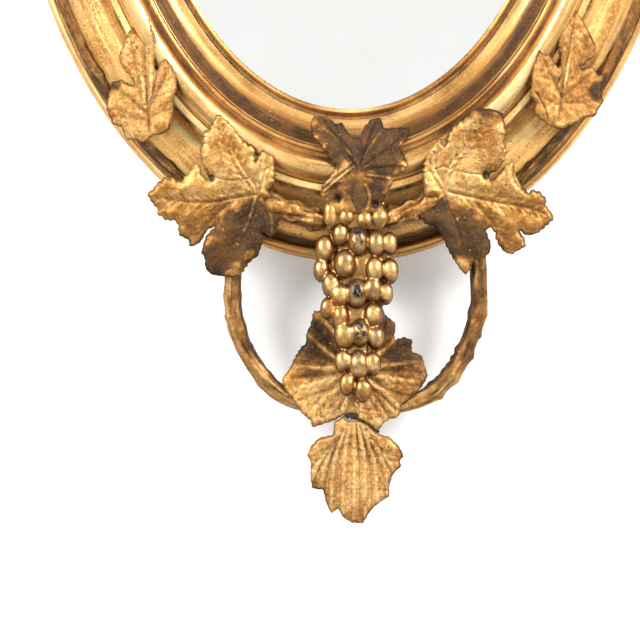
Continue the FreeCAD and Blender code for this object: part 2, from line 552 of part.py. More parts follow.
def button_screw(angle):
    """The round-headed screw that a turn button turns on."""
    pivot = rail_point(angle, BUTTON_SHARE, 0.0)
    head_top = -2 * BUTTON_GAP - BUTTON_THICKNESS
    head = peg(pivot, BUTTON_HEAD_RADIUS, head_top - BUTTON_HEAD_HEIGHT, head_top)
    return head.fuse(peg(pivot, BUTTON_SCREW_RADIUS, head_top, BUTTON_SCREW_DEPTH)).removeSplitter()


def hang_screw_points():
    """Four screws near the foot of the hanging plate."""
    half = HANG_SCREW_SPREAD / 2
    return [Vector(side * half, 0, row * HANG_SCREW_PITCH - HANG_SCREW_DROP)
            for side in (-1, 1) for row in (0, 1)]


def hanging_plate():
    """The strap with the hole that a wall hook goes through."""
    corner = Vector(-HANG_PLATE_WIDTH / 2, BACK_Y, HANG_PLATE_TOP - HANG_PLATE_HEIGHT)
    plate = Part.makeBox(HANG_PLATE_WIDTH, HANG_PLATE_THICKNESS, HANG_PLATE_HEIGHT, corner)
    upright = [edge for edge in plate.Edges if edge.tangentAt(edge.FirstParameter).y]
    plate = plate.makeFillet(HANG_PLATE_CORNER, upright)
    plate = plate.cut(peg(Vector(), HANG_HOLE_RADIUS, -HANG_PLATE_THICKNESS - OVERRUN, OVERRUN))
    for point in hang_screw_points():
        plate = plate.cut(countersunk_hole(point, -HANG_PLATE_THICKNESS, OVERRUN))
    return plate


def climbing_vine(side):
    """The stem along the plate's edge, from behind a lower leaf up to the crest."""
    level = PLATE_LEVEL + SIDE_VINE_RADIUS
    share, round_share = SIDE_VINE_SHARE, SIDE_VINE_RADIUS / END_RAIL_WIDTH
    low, high = level - SIDE_VINE_RADIUS, level + SIDE_VINE_RADIUS
    near, far = share - round_share, share + round_share
    start = (near, level)
    steps = (((near, high), (share, high)), ((far, high), (far, level)), ((far, low), (share, low)),
             ((near, low), start))
    if side < 0:
        return oval_moulding(start, steps, FULL_TURN - SIDE_VINE_STOP, FULL_TURN - SIDE_VINE_START)
    return oval_moulding(start, steps, SIDE_VINE_START, SIDE_VINE_STOP)


def pendant_point(side, shares, level):
    """A point of the pendant, in shares of its half width and its drop below the oval."""
    x_share, drop_share = shares
    return Vector(PENDANT_OFFSET + side * x_share * PENDANT_HALF_WIDTH, depth(level),
                  OUTER_FOOT_Z - drop_share * PENDANT_DROP)


def rounded_path(points):
    """Straight runs joined by tangent arcs as large as the runs allow."""
    edges, here = [], points[0]
    for before, corner, after in zip(points, points[1:], points[2:]):
        reach = BEND_SHARE * min((corner - before).Length, (after - corner).Length)
        enter = corner + (before - corner).normalize() * reach
        leave = corner + (after - corner).normalize() * reach
        half = (corner - before).getAngle(after - corner) / 2
        inward = (enter - corner).normalize() + (leave - corner).normalize()
        centre_reach = reach / math.sin(half)
        middle = corner + inward.normalize() * (centre_reach - reach / math.tan(half))
        edges.append(Part.LineSegment(here, enter).toShape())
        edges.append(Part.Arc(enter, middle, leave).toShape())
        here = leave
    edges.append(Part.LineSegment(here, points[-1]).toShape())
    return Part.Wire(edges)


def tube(path, radius):
    """A round bar along a path."""
    first = path.OrderedEdges[0]
    ring = Part.makeCircle(radius, first.valueAt(first.FirstParameter), first.tangentAt(first.FirstParameter))
    return path.makePipeShell([Part.Wire(ring)], True, False)


def vine_route(side, root_level):
    """The middle line of a pendant stem, from its root in the plate to its end behind the leaf."""
    root = pendant_point(side, VINE_ROOT_SHARES, root_level)
    bend = pendant_point(side, VINE_ROOT_SHARES, VINE_ROOT_LEVEL)
    return rounded_path([root, bend] + [pendant_point(side, shares, PENDANT_VINE_LEVEL)
                                        for shares in VINE_ROUTE_SHARES])


def bend_level(bend, u, v):
    """The level of a bent sheet above its own level at shares u across and v up."""
    def blend(values, t):
        while len(values) > 1:
            values = [(1 - t) * a + t * b for a, b in zip(values, values[1:])]
        return values[0]
    return blend([blend(list(row), u) for row in bend], v) * LEAF_RELIEF


def leaf_frame(outline):
    """The corners of a sheet that covers an outline."""
    xs = [x * LEAF_REACH for x, z in outline]
    zs = [z * LEAF_REACH for x, z in outline]
    return min(xs) - LEAF_MARGIN, max(xs) + LEAF_MARGIN, min(zs) - LEAF_MARGIN, max(zs) + LEAF_MARGIN


def leaf_level(outline, bend, level, x, z):
    """The level of a leaf's front at a point of its own plane."""
    left, right, low, high = leaf_frame(outline)
    return level + bend_level(bend, (x - left) / (right - left), (z - low) / (high - low))


def leaf_blank(outline, bend, level):
    """A bent sheet cut to an outline, about the point where its veins meet."""
    left, right, low, high = leaf_frame(outline)
    rows, columns = len(bend), len(bend[0])
    poles = [[Vector(left + (right - left) * k / (columns - 1), depth(level + share * LEAF_RELIEF),
                     low + (high - low) * r / (rows - 1)) for k, share in enumerate(row)]
             for r, row in enumerate(bend)]
    surface = Part.BSplineSurface()
    surface.buildFromPolesMultsKnots(poles, (rows, rows), (columns, columns), (0, 1), (0, 1), False, False,
                                     rows - 1, columns - 1)
    sheet = surface.toShape().extrude(Vector(0, LEAF_THICKNESS, 0))
    front = depth(DRAFT_DEPTH)
    corners = [Vector(x * LEAF_REACH, front, z * LEAF_REACH) for x, z in outline]
    block = Part.Face(Part.makePolygon(corners + corners[:1])).extrude(Vector(0, DRAFT_DEPTH, 0))
    return block.common(sheet)


def rail_leaf(name, neighbours):
    """A leaf on the rail, and its pin. It stands on a boss unless it lies on the torus."""
    outline, bend, angle, share, turn, level = LEAVES[name]
    leaf = leaf_blank(outline, bend, level)
    place = rail_point(angle, share, 0.0)
    leaf.rotate(Vector(), Vector(0, 1, 0), turn)
    leaf.translate(Vector(place.x, 0, place.z))
    front = leaf_level(outline, bend, level, 0.0, 0.0)
    if name not in FLAT_ON_RAIL:
        leaf = leaf.fuse(peg(place, BOSS_RADIUS, CARCASS_THICKNESS, front - LEAF_THICKNESS / 2))
    if name == "centre_leaf":
        leaf = leaf.fuse(drops(place, front))
    return seated(leaf, neighbours), pin(place, front)


def pin(place, front):
    """A brad and its hole, from just under a leaf's face into the moulding behind it."""
    low, high = CARCASS_THICKNESS + LEAF_PIN_ROOM, front - LEAF_PIN_SINK
    hole = peg(place, LEAF_PIN_RADIUS + PIN_CLEARANCE, low - PIN_CLEARANCE, front + OVERRUN)
    return peg(place, LEAF_PIN_RADIUS, low, high), hole


def pendant_leaf(outline, bend, drop):
    """A leaf that hangs below the rail."""
    leaf = leaf_blank(outline, bend, PENDANT_LEAF_LEVEL)
    leaf.translate(Vector(PENDANT_OFFSET, 0, OUTER_FOOT_Z - drop))
    return leaf


def drops(place, front):
    """The four small drops under the middle leaf and the pad that they grow from."""
    level = front - LEAF_THICKNESS
    middle = Vector(place.x, depth(level), place.z + DROP_PAD_SHARE * LEAF_REACH)
    corner = middle - Vector(DROP_PAD_WIDTH / 2, LEAF_THICKNESS / 2, DROP_PAD_HEIGHT / 2)
    pad = Part.makeBox(DROP_PAD_WIDTH, LEAF_THICKNESS, DROP_PAD_HEIGHT, corner)
    return [pad] + [berry(Vector(place.x + x * LEAF_REACH, depth(level), place.z + z * LEAF_REACH),
                          DROP_WIDTH, DROP_LENGTH) for x, z in DROP_SHARES]


def berry(centre, width, length):
    """An upright grape with round ends."""
    radius = width / 2
    rise = length / 2 - radius
    body = Part.makeCylinder(radius, 2 * rise, centre - Vector(0, 0, rise))
    ends = [Part.makeSphere(radius, centre + Vector(0, 0, side * rise)) for side in (-1, 1)]
    return body.multiFuse(ends).removeSplitter()


def grape_bunch(neighbours):
    """The stepped core of the bunch, the grapes on it and the boss that rests on the plate's edge."""
    top_z = OUTER_FOOT_Z + BUNCH_RISE
    cores = []
    for width_share, back, front in zip(CORE_WIDTH_SHARES, CORE_BACKS, CORE_FRONTS):
        width, level = width_share * BUNCH_WIDTH, BUNCH_LEVEL + back
        edges = [[Vector(PENDANT_OFFSET + side * half * width, depth(level), top_z - drop * BUNCH_LENGTH)
                  for drop, half in CORE_SHARES] for side in (-1, 1)]
        corners = edges[0] + edges[1][::-1]
        cores.append(Part.Face(Part.makePolygon(corners + corners[:1])).extrude(Vector(0, back - front, 0)))
    grapes = []
    for x_share, drop, size in GRAPE_SHARES:
        front = BUNCH_LEVEL + GRAPE_STAND - BUNCH_CROWN * (2 * x_share) ** 2
        centre = Vector(PENDANT_OFFSET + x_share * BUNCH_WIDTH, depth(front), top_z - drop * BUNCH_LENGTH)
        grapes.append(berry(centre, size * GRAPE_WIDTH, size * GRAPE_LENGTH))
    boss_at = Vector(PENDANT_OFFSET, 0, top_z - BUNCH_BOSS_DROP)
    boss = peg(boss_at, BUNCH_BOSS_RADIUS, PLATE_LEVEL + GLUE_GAP, BUNCH_LEVEL)
    return seated(cores[0].multiFuse(cores[1:] + grapes + [boss]), neighbours), pin(boss_at, BUNCH_LEVEL)


def twig(outer, inner, neighbours):
    """A gnarled twig from a large leaf's vein junction to the middle leaf."""
    rings = []
    for along, size, fall in TWIG_SHARES:
        centre = outer + (inner - outer) * along
        centre = Vector(centre.x, depth(TWIG_LEVEL), outer.z + fall * LEAF_REACH)
        rings.append(Part.Wire(Part.makeCircle(size * TWIG_RADIUS, centre, Vector(1, 0, 0))))
    shifts = [Vector(0, -SEAT_GAP, 0)]
    for gap in (-SEAT_GAP, SEAT_GAP):
        shifts += [Vector(gap, 0, 0), Vector(0, 0, gap)]
    return seated(Part.makeLoft(rings, True), neighbours, shifts)


def wall_bumper(angle):
    """A round pad on the back, and the tack that holds it."""
    place = rail_point(angle, BUMPER_SHARE, 0.0)
    head_level = TACK_SINK + TACK_HEAD_THICKNESS - BUMPER_THICKNESS
    pad = peg(place, BUMPER_RADIUS, -BUMPER_THICKNESS, -GLUE_GAP)
    hole = peg(place, TACK_HEAD_RADIUS + PIN_CLEARANCE, -BUMPER_THICKNESS - OVERRUN, head_level)
    hole = hole.fuse(peg(place, TACK_RADIUS + PIN_CLEARANCE, -BUMPER_THICKNESS, TACK_DEPTH + PIN_CLEARANCE))
    head = peg(place, TACK_HEAD_RADIUS, head_level - TACK_HEAD_THICKNESS, head_level)
    return pad.cut(hole), head.fuse(peg(place, TACK_RADIUS, head_level, TACK_DEPTH)).removeSplitter(), hole


def pendant_dowel(room):
    """The pin in the mended break between the pendant leaf and its tip."""
    z = PENDANT_LEAF_DROP - DOWEL_DROP
    level = leaf_level(PENDANT_LEAF_SHARES, PENDANT_BEND_SHARES, PENDANT_LEAF_LEVEL, DOWEL_OFFSET, z)
    length = DOWEL_LENGTH + 2 * room
    foot = Vector(PENDANT_OFFSET + DOWEL_OFFSET, depth(level - LEAF_THICKNESS / 2),
                  OUTER_FOOT_Z - DOWEL_DROP - length / 2)
    return Part.makeCylinder(DOWEL_RADIUS + room, length, foot)


def frame_parts():
    """The carcass, its mouldings and the screws that hold them together."""
    parts, tongues = carcass_segments()
    parts["carcass_splines"] = tongues
    parts["rim_bead"] = rim_bead()
    parts["cove_moulding"] = cove_moulding()
    parts["torus_moulding"] = torus_moulding()
    parts["sight_moulding"] = sight_moulding()
    screws = []
    for share, tip, moulding in ((COVE_SCREW_SHARE, COVE_SCREW_LEVEL, "cove_moulding"),
                                 (TORUS_SCREW_SHARE, TORUS_SCREW_LEVEL, "torus_moulding")):
        places = [rail_point(angle, share, 0.0) for angle in SCREW_ANGLES]
        screws += [countersunk_screw(place, 0.0, tip) for place in places]
        bore(parts, CARCASS + (moulding,), [countersunk_hole(place, 0.0, tip) for place in places])
    parts["moulding_screws"] = Part.makeCompound(screws)
    return parts


def back_parts(parts):
    """Glass, felt, backboard, turn buttons, hanging plate and bumpers."""
    parts["mirror_glass"] = oval_disc(GLASS_SHARE, BOARD_THICKNESS + FELT_THICKNESS, GLASS_THICKNESS)
    parts["backing_felt"] = oval_disc(GLASS_SHARE, BOARD_THICKNESS, FELT_THICKNESS)
    parts.update(backboard_planks())
    for number, angle in enumerate(SCREW_ANGLES, 1):
        parts["turn_button_%d" % number] = turn_button(angle)
    parts["turn_button_screws"] = Part.makeCompound([button_screw(angle) for angle in SCREW_ANGLES])
    pilot_radius, pilot_level = BUTTON_SCREW_RADIUS + PIN_CLEARANCE, BUTTON_SCREW_DEPTH + PIN_CLEARANCE
    bore(parts, CARCASS, [peg(rail_point(angle, BUTTON_SHARE, 0.0), pilot_radius, -OVERRUN, pilot_level)
                          for angle in SCREW_ANGLES])
    parts["hanging_plate"] = hanging_plate()
    face, points = -HANG_PLATE_THICKNESS, hang_screw_points()
    parts["hanging_plate_screws"] = Part.makeCompound(
        [countersunk_screw(point, face, HANG_SCREW_DEPTH) for point in points])
    pocket = peg(Vector(), HANG_POCKET_RADIUS, -OVERRUN, HANG_POCKET_DEPTH)
    bore(parts, CARCASS, [countersunk_hole(point, face, HANG_SCREW_DEPTH) for point in points] + [pocket])
    tacks = []
    for word, angle in BUMPER_ANGLES.items():
        parts["wall_bumper_" + word], tack, hole = wall_bumper(angle)
        tacks.append(tack)
        bore(parts, CARCASS, [hole])
    parts["bumper_tacks"] = Part.makeCompound(tacks)


def bore(parts, names, holes):
    """Cut holes in every named piece that they reach."""
    for name in names:
        near = [hole for hole in holes if hole.BoundBox.intersect(parts[name].BoundBox)]
        if near:
            parts[name] = parts[name].cut(near)


def stem_parts(parts):
    """The climbing vines and the two stems of the pendant with their wires."""
    for side, word in ((-1, "left"), (1, "right")):
        parts["climbing_vine_" + word] = climbing_vine(side)
        stem = tube(vine_route(side, CARCASS_THICKNESS), PENDANT_VINE_RADIUS)
        wire_line = vine_route(side, WIRE_ANCHOR_LEVEL)
        parts["pendant_wire_" + word] = tube(wire_line, WIRE_RADIUS)
        wire_bore = tube(wire_line, WIRE_RADIUS + PIN_CLEARANCE)
        parts["pendant_vine_" + word] = seated(stem, [parts["cove_moulding"], parts["rim_bead"]])
        bore(parts, ("pendant_vine_" + word, "cove_moulding", "carcass_bottom"), [wire_bore])


def leaf_parts(parts):
    """Leaves, twigs, grapes and the pins that hold them."""
    mouldings = ("cove_moulding", "torus_moulding", "sight_moulding", "rim_bead")
    stems = [kind + word for kind in ("climbing_vine_", "pendant_vine_") for word in ("left", "right")]
    pins, holes = [], []
    for name in LEAVES:
        parts[name], (brad, hole) = rail_leaf(name, [parts[other] for other in (*mouldings, *stems)])
        pins.append(brad)
        holes.append(hole)
    inner = rail_point(*LEAVES["centre_leaf"][2:4], 0.0)
    for word in ("left", "right"):
        outer = rail_point(*LEAVES[word + "_leaf"][2:4], 0.0)
        near = (word + "_leaf", "centre_leaf", "cove_moulding", "torus_moulding")
        parts["twig_" + word] = twig(outer, inner, [parts[other] for other in near])
    leaf = pendant_leaf(PENDANT_LEAF_SHARES, PENDANT_BEND_SHARES, PENDANT_LEAF_DROP)
    parts["pendant_leaf"] = seated(leaf, [parts["pendant_vine_left"], parts["pendant_vine_right"]])
    parts["pendant_leaf_tip"] = pendant_leaf(TIP_LEAF_SHARES, TIP_BEND_SHARES, TIP_LEAF_DROP)
    parts["grape_bunch"], (brad, hole) = grape_bunch([parts["pendant_leaf"], parts["centre_leaf"]])
    pins.append(brad)
    parts["leaf_pins"] = Part.makeCompound(pins)
    bore(parts, (*LEAVES, "grape_bunch", *mouldings), holes + [hole])
    parts["pendant_leaf_dowel"] = pendant_dowel(0.0)
    bore(parts, ("pendant_leaf", "pendant_leaf_tip"), [pendant_dowel(PIN_CLEARANCE)])


def main():
    parts = frame_parts()
    back_parts(parts)
    stem_parts(parts)
    leaf_parts(parts)
    os.makedirs("parts", exist_ok=True)
    for name, shape in parts.items():
        shape.exportStep("parts/%s.step" % name)
        print(name, len(shape.Solids), shape.isValid(), round(shape.Volume))


main()
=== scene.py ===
import math

import bmesh
import bpy
import numpy as np
from mathutils import Matrix, Vector, geometry, kdtree, noise
from mathutils.bvhtree import BVHTree


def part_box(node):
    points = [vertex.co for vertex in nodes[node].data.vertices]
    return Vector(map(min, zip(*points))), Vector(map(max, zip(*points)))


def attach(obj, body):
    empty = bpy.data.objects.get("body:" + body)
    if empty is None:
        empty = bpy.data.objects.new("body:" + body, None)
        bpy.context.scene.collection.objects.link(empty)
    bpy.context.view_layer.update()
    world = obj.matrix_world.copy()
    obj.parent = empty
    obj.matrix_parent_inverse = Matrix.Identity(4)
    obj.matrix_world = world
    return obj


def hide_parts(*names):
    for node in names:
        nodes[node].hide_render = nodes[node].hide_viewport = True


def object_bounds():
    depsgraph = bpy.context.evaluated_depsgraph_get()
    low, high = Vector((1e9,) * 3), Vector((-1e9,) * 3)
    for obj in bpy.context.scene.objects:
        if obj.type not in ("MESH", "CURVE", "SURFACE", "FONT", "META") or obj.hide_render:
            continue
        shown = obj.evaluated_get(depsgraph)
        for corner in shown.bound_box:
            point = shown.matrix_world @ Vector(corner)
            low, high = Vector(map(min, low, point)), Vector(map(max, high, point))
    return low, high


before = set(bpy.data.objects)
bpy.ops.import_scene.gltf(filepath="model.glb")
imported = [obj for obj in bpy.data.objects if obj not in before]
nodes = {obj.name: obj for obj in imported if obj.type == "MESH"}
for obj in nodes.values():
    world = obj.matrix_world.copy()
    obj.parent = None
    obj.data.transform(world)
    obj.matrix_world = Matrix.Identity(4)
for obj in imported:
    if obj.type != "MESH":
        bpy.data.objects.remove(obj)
cad_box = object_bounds()
scene = bpy.context.scene
scene.view_settings.view_transform = "Standard"

# The rail's family of ovals, as in the part, in metres
MM = 0.001
HALF_WIDTH, HALF_HEIGHT = 256 * MM, 362 * MM
SIDE_RAIL, END_RAIL = 99 * MM, 115 * MM
MEAN_RAIL_MM = 107.0
CENTRE_Z = -318 * MM
BACK_Y = -1.5 * MM
FOOT_Z = CENTRE_Z - HALF_HEIGHT
REACH = 75 * MM
PENDANT_X = 4.3 * MM

# The photograph shows the part square on: its size and the oval's middle in pixels, and a pixel's size
PHOTO_SIZE = 640
MIDDLE_ACROSS, MIDDLE_DOWN = 350.3, -221
PIXEL = 0.75 * MM


def rail_xz(angle, share):
    """x and z of the rail at an angle in degrees from the bottom."""
    turn = np.radians(angle)
    return ((HALF_WIDTH - share * SIDE_RAIL) * np.sin(turn),
            CENTRE_Z - (HALF_HEIGHT - share * END_RAIL) * np.cos(turn))


def depth(level):
    """y of a level in millimetres above the back."""
    return BACK_Y - level * MM


def photo_place(across, down, level=0.0):
    """A place on the part from one on the photograph."""
    return (across - MIDDLE_ACROSS) * PIXEL, depth(level), CENTRE_Z - (down - MIDDLE_DOWN) * PIXEL


def smooth_step(low, high, value):
    """Zero at low, one at high, with soft ends."""
    t = np.clip((value - low) / (high - low), 0.0, 1.0)
    return t * t * (3 - 2 * t)


def hump(away, width):
    """One at no distance, falling softly to zero."""
    return np.exp(-(away / width) ** 2)


def noise_at(points, scale, offset=0.0):
    """Smooth noise between -1 and 1 at each point."""
    shift = Vector((offset, offset * 0.7, -offset))
    return np.array([noise.noise(Vector(p) * scale + shift) for p in points])


def ring_noise(turn, radius, height):
    """Smooth noise on a cylinder, which closes round a stem."""
    return noise.noise(Vector((math.cos(turn) * radius, math.sin(turn) * radius, height)))


# Materials
def linear(red, green, blue):
    """A colour written as it looks on a screen, 0 to 255."""
    def one(value):
        value /= 255
        return value / 12.92 if value <= 0.04045 else ((value + 0.055) / 1.055) ** 2.4
    return one(red), one(green), one(blue), 1.0


class Shader:
    """A short way to write the node tree of a new material, or of the world."""

    def __init__(self, name, owner=None):
        self.owner = owner or bpy.data.materials.new(name)
        self.owner.use_nodes = True
        self.tree = self.owner.node_tree
        self.principled = self.tree.nodes.get("Principled BSDF")

    def node(self, kind, inputs=None, **settings):
        made = self.tree.nodes.new("ShaderNode" + kind)
        for key, value in settings.items():
            setattr(made, key, value)
        for key, value in (inputs or {}).items():
            self.put(made.inputs[key], value)
        return made

    def put(self, socket, value):
        if isinstance(value, bpy.types.NodeSocket):
            self.tree.links.new(value, socket)
        else:
            socket.default_value = value

    def set(self, **inputs):
        for key, value in inputs.items():
            self.put(self.principled.inputs[key.replace("_", " ")], value)

    def place(self):
        return self.node("TexCoord").outputs["Object"]

    def stretched(self, scale, uv=None):
        source = self.node("UVMap", uv_map=uv).outputs["UV"] if uv else self.place()
        return self.node("Mapping", {"Vector": source, "Scale": scale}).outputs["Vector"]

    def noise(self, scale, detail=4.0, rough=0.6, vector=None, distortion=0.0):
        inputs = {"Vector": vector or self.place(), "Scale": scale, "Detail": detail, "Roughness": rough,
                  "Distortion": distortion}
        return self.node("TexNoise", inputs).outputs["Fac"]

    def cells(self, scale, feature="F1"):
        inputs = {"Vector": self.place(), "Scale": scale}
        return self.node("TexVoronoi", inputs, feature=feature).outputs["Distance"]

    def ramp(self, value, low, high, start=0.0, stop=1.0, kind="SMOOTHSTEP"):
        inputs = {"Value": value, "From Min": low, "From Max": high, "To Min": start, "To Max": stop}
        return self.node("MapRange", inputs, interpolation_type=kind).outputs["Result"]

    def maths(self, operation, first, second=0.0):
        clamp = operation in ("ADD", "SUBTRACT")
        return self.node("Math", {0: first, 1: second}, operation=operation, use_clamp=clamp).outputs[0]

    def mix(self, share, first, second):
        made = self.node("Mix", data_type="RGBA")
        for key, value in (("Factor", share), ("A", first), ("B", second)):
            self.put(made.inputs[key], value)
        return made.outputs["Result"]

    def point(self, name):
        return self.node("Attribute", attribute_name=name).outputs["Fac"]

    def bump(self, height, distance, strength):
        inputs = {"Height": height, "Distance": distance, "Strength": strength}
        return self.node("Bump", inputs).outputs["Normal"]


PALE_GOLD = linear(250, 216, 150)
GOLD = linear(222, 168, 92)
DEEP_GOLD = linear(168, 112, 48)
BROWN = linear(88, 58, 30)
BRONZE = linear(94, 64, 34)
UMBER = linear(62, 44, 28)
BLACKENED = linear(30, 22, 16)
BOLE = linear(204, 150, 116)
SILVERED = linear(66, 62, 58)
PALE_PINE, DARK_PINE = linear(192, 150, 104), linear(136, 94, 58)

# Stretch of the gilder's brush marks along and across a moulding, and of the bark along a stem
WIDE_BRUSH, FINE_BRUSH, BARK = (9.0, 130.0, 1.0), (14.0, 420.0, 1.0), (30.0, 420.0, 1.0)
GESSO_GRAIN, WOOD_GRAIN, METAL_GRAIN, CLOTH_GRAIN = 1.2 * MM, 0.8 * MM, 0.3 * MM, 0.6 * MM


def gilt(name, shade, rough, speckle, pale, grain, shine=0.9, pitted=0.5, varnish=0.0, swept=False,
         streaked=False, worn_black=False):
    """Old gold leaf: uneven gold, brown specks and pits, darkened patches, dirt with painted shade, and wear
    with painted highlights.
    """
    s = Shader(name)
    light_gold, gold, deep_gold = (tuple(shade * part for part in colour[:3]) + (1.0,)
                                   for colour in (PALE_GOLD, GOLD, DEEP_GOLD))
    if swept:
        clouds = s.noise(1.0, 4.0, 0.65, s.stretched(WIDE_BRUSH, "grain"))
        brushed = s.noise(1.0, 4.0, 0.65, s.stretched(FINE_BRUSH, "grain"))
        tone = s.maths("MULTIPLY", s.point("tone"), s.ramp(brushed, 0.3, 0.7, 0.72, 1.15))
    else:
        clouds = s.noise(95.0, 4.0, 0.65, distortion=0.6)
        blotches = s.ramp(s.noise(170.0, 5.0, 0.75), 0.3, 0.7, -0.20, 0.20)
        tone = s.maths("ADD", s.point("tone"), blotches)
    fine = s.noise(620.0, 4.0, 0.75)
    gritty = s.noise(1500.0, 2.0, 0.7)

    # Gold of three depths, paler where it is worn and where a highlight is painted
    colour = s.mix(s.ramp(s.noise(26.0, 5.0, 0.62), 0.32, 0.68), deep_gold, gold)
    colour = s.mix(s.ramp(clouds, 0.44, 0.70, 0.0, pale), colour, light_gold)
    colour = s.mix(s.ramp(fine, 0.50, 0.68, 0.0, pale + 0.3 * speckle), colour, light_gold)
    if streaked:
        lines = s.noise(1.0, 3.0, 0.6, s.stretched(BARK, "grain"))
        colour = s.mix(s.ramp(lines, 0.42, 0.7, 0.0, 0.45), colour, deep_gold)
    worn = s.maths("MULTIPLY", s.point("wear"), s.ramp(clouds, 0.35, 0.6, 0.2, 0.9))
    colour = s.mix(worn, colour, light_gold)

    # Rubbed places that show the red ground, and brown specks
    rubbed = s.ramp(s.noise(48.0, 5.0, 0.7, distortion=1.2), 0.56, 0.68, 0.0, 0.7 * speckle)
    colour = s.mix(rubbed, colour, BOLE)
    spread = s.ramp(s.noise(34.0, 2.0), 0.34, 0.62, 0.3, 1.0)
    mottle = s.ramp(s.noise(330.0, 3.0, 0.75), 0.48, 0.66, 0.0, 0.85 * speckle)
    grit = s.ramp(gritty, 0.54, 0.68, 0.0, speckle)
    for specks in (mottle, grit):
        colour = s.mix(s.maths("MULTIPLY", specks, spread), colour, BROWN)

    # Darkened patches and painted shade, pits, and dirt with painted shade
    dark = s.mix(s.ramp(s.noise(60.0, 4.0, 0.65), 0.38, 0.64), BRONZE, UMBER)
    dark = s.mix(s.ramp(fine, 0.54, 0.72, 0.0, 0.8), dark, deep_gold)
    dark = s.mix(s.ramp(s.noise(240.0, 3.0, 0.7), 0.66, 0.74, 0.0, 0.9), dark, gold)
    colour = s.mix(s.ramp(tone, 0.05, 0.50, 0.0, 0.9), colour, deep_gold)
    tone = s.ramp(tone, 0.22, 0.85)
    colour = s.mix(tone, colour, dark)
    pits = s.ramp(s.cells(300.0), 0.12, 0.24, 1.0, 0.0)
    pits = s.maths("MULTIPLY", pits, s.ramp(s.noise(45.0, 2.0), 0.50, 0.62))
    colour = s.mix(s.maths("MULTIPLY", pits, pitted), colour, BLACKENED)
    dirt = s.maths("MULTIPLY", s.point("dirt"), s.ramp(s.noise(300.0, 3.0), 0.2, 0.6, 0.7, 1.0))
    colour = s.mix(dirt, colour, BLACKENED)

    if worn_black:
        lost = s.ramp(s.noise(210.0, 5.0, 0.7, distortion=1.0), 0.36, 0.50)
        bare = s.mix(s.ramp(s.noise(300.0, 2.0), 0.4, 0.6), BLACKENED, SILVERED)
        colour = s.mix(s.maths("MULTIPLY", s.point("black"), lost), colour, bare)
        crack = s.ramp(s.cells(150.0, "DISTANCE_TO_EDGE"), 0.0, 0.035, 1.0, 0.0)
        crack = s.maths("MULTIPLY", crack, s.point("black"))
        colour = s.mix(s.maths("MULTIPLY", crack, 0.8), colour, BLACKENED)
    dull = s.maths("MAXIMUM", s.maths("MAXIMUM", tone, dirt), rubbed)
    gloss = s.ramp(clouds, 0.3, 0.7, rough, rough + 0.12)
    height = s.maths("MULTIPLY", s.noise(210.0, 4.0, 0.6), 0.8)
    height = s.maths("ADD", height, s.maths("MULTIPLY", gritty, 0.2))
    s.set(Base_Color=colour, Roughness=s.maths("ADD", gloss, s.maths("MULTIPLY", dull, 0.22)),
          Metallic=s.maths("SUBTRACT", shine, s.maths("MULTIPLY", dull, 0.5 * shine)),
          Specular_IOR_Level=0.25, Coat_Weight=varnish, Coat_Roughness=0.22,
          Normal=s.bump(height, GESSO_GRAIN, grain))
    return s.owner


def timber(name, pale, dark, along, rough=0.72):
    """Planed or sawn wood with its grain along one direction."""
    s = Shader(name)
    squeeze = [60.0, 60.0, 60.0]
    squeeze["XYZ".index(along)] = 3.0
    vector = s.stretched(squeeze)
    rings = s.noise(1.6, 6.0, 0.62, vector, distortion=1.4)
    fibres = s.noise(14.0, 4.0, 0.7, vector)
    colour = s.mix(s.ramp(rings, 0.34, 0.66), pale, dark)
    colour = s.mix(s.ramp(fibres, 0.45, 0.8, 0.0, 0.5), colour, s.mix(0.5, dark, BLACKENED))
    stain = s.ramp(s.noise(9.0, 4.0, 0.6, distortion=0.8), 0.52, 0.75, 0.0, 0.55)
    colour = s.mix(stain, colour, s.mix(0.35, dark, BLACKENED))
    s.set(Base_Color=colour, Roughness=s.ramp(fibres, 0.2, 0.8, rough - 0.1, rough + 0.12),
          Normal=s.bump(s.maths("ADD", fibres, rings), WOOD_GRAIN, 0.5))
    return s.owner


def metal(name, colour, tarnish, rough):
    """Dulled metal with fine scratches and tarnish."""
    s = Shader(name)
    spots = s.noise(140.0, 5.0, 0.7, distortion=0.8)
    lines = s.noise(1.0, 3.0, 0.6, s.stretched((300.0, 300.0, 2600.0)))
    gloss = s.maths("ADD", s.ramp(spots, 0.3, 0.7, rough, rough + 0.2), s.ramp(lines, 0.4, 0.7, 0.0, 0.1))
    s.set(Base_Color=s.mix(s.ramp(spots, 0.42, 0.68), colour, tarnish), Metallic=0.9, Roughness=gloss,
          Normal=s.bump(s.maths("ADD", lines, spots), METAL_GRAIN, 0.35))
    return s.owner


def cloth(name, colour, shade):
    """Felt, leather, or the dark fill that stands in for shade in a crack: a soft grain."""
    s = Shader(name)
    grain = s.maths("ADD", s.noise(700.0, 4.0, 0.7), s.cells(260.0))
    s.set(Base_Color=s.mix(s.ramp(s.noise(120.0, 4.0), 0.35, 0.7), colour, shade), Roughness=0.85,
          Normal=s.bump(grain, CLOTH_GRAIN, 0.6))
    return s.owner


def silvered_glass():
    """A silvered glass with a faint unevenness."""
    s = Shader("silvered_glass")
    haze = s.noise(30.0, 3.0)
    colour = s.mix(s.ramp(haze, 0.3, 0.8, 0.0, 0.35), linear(247, 248, 245), linear(236, 238, 234))
    s.set(Base_Color=colour, Metallic=1.0, Roughness=s.ramp(haze, 0.3, 0.8, 0.015, 0.05))
    return s.owner


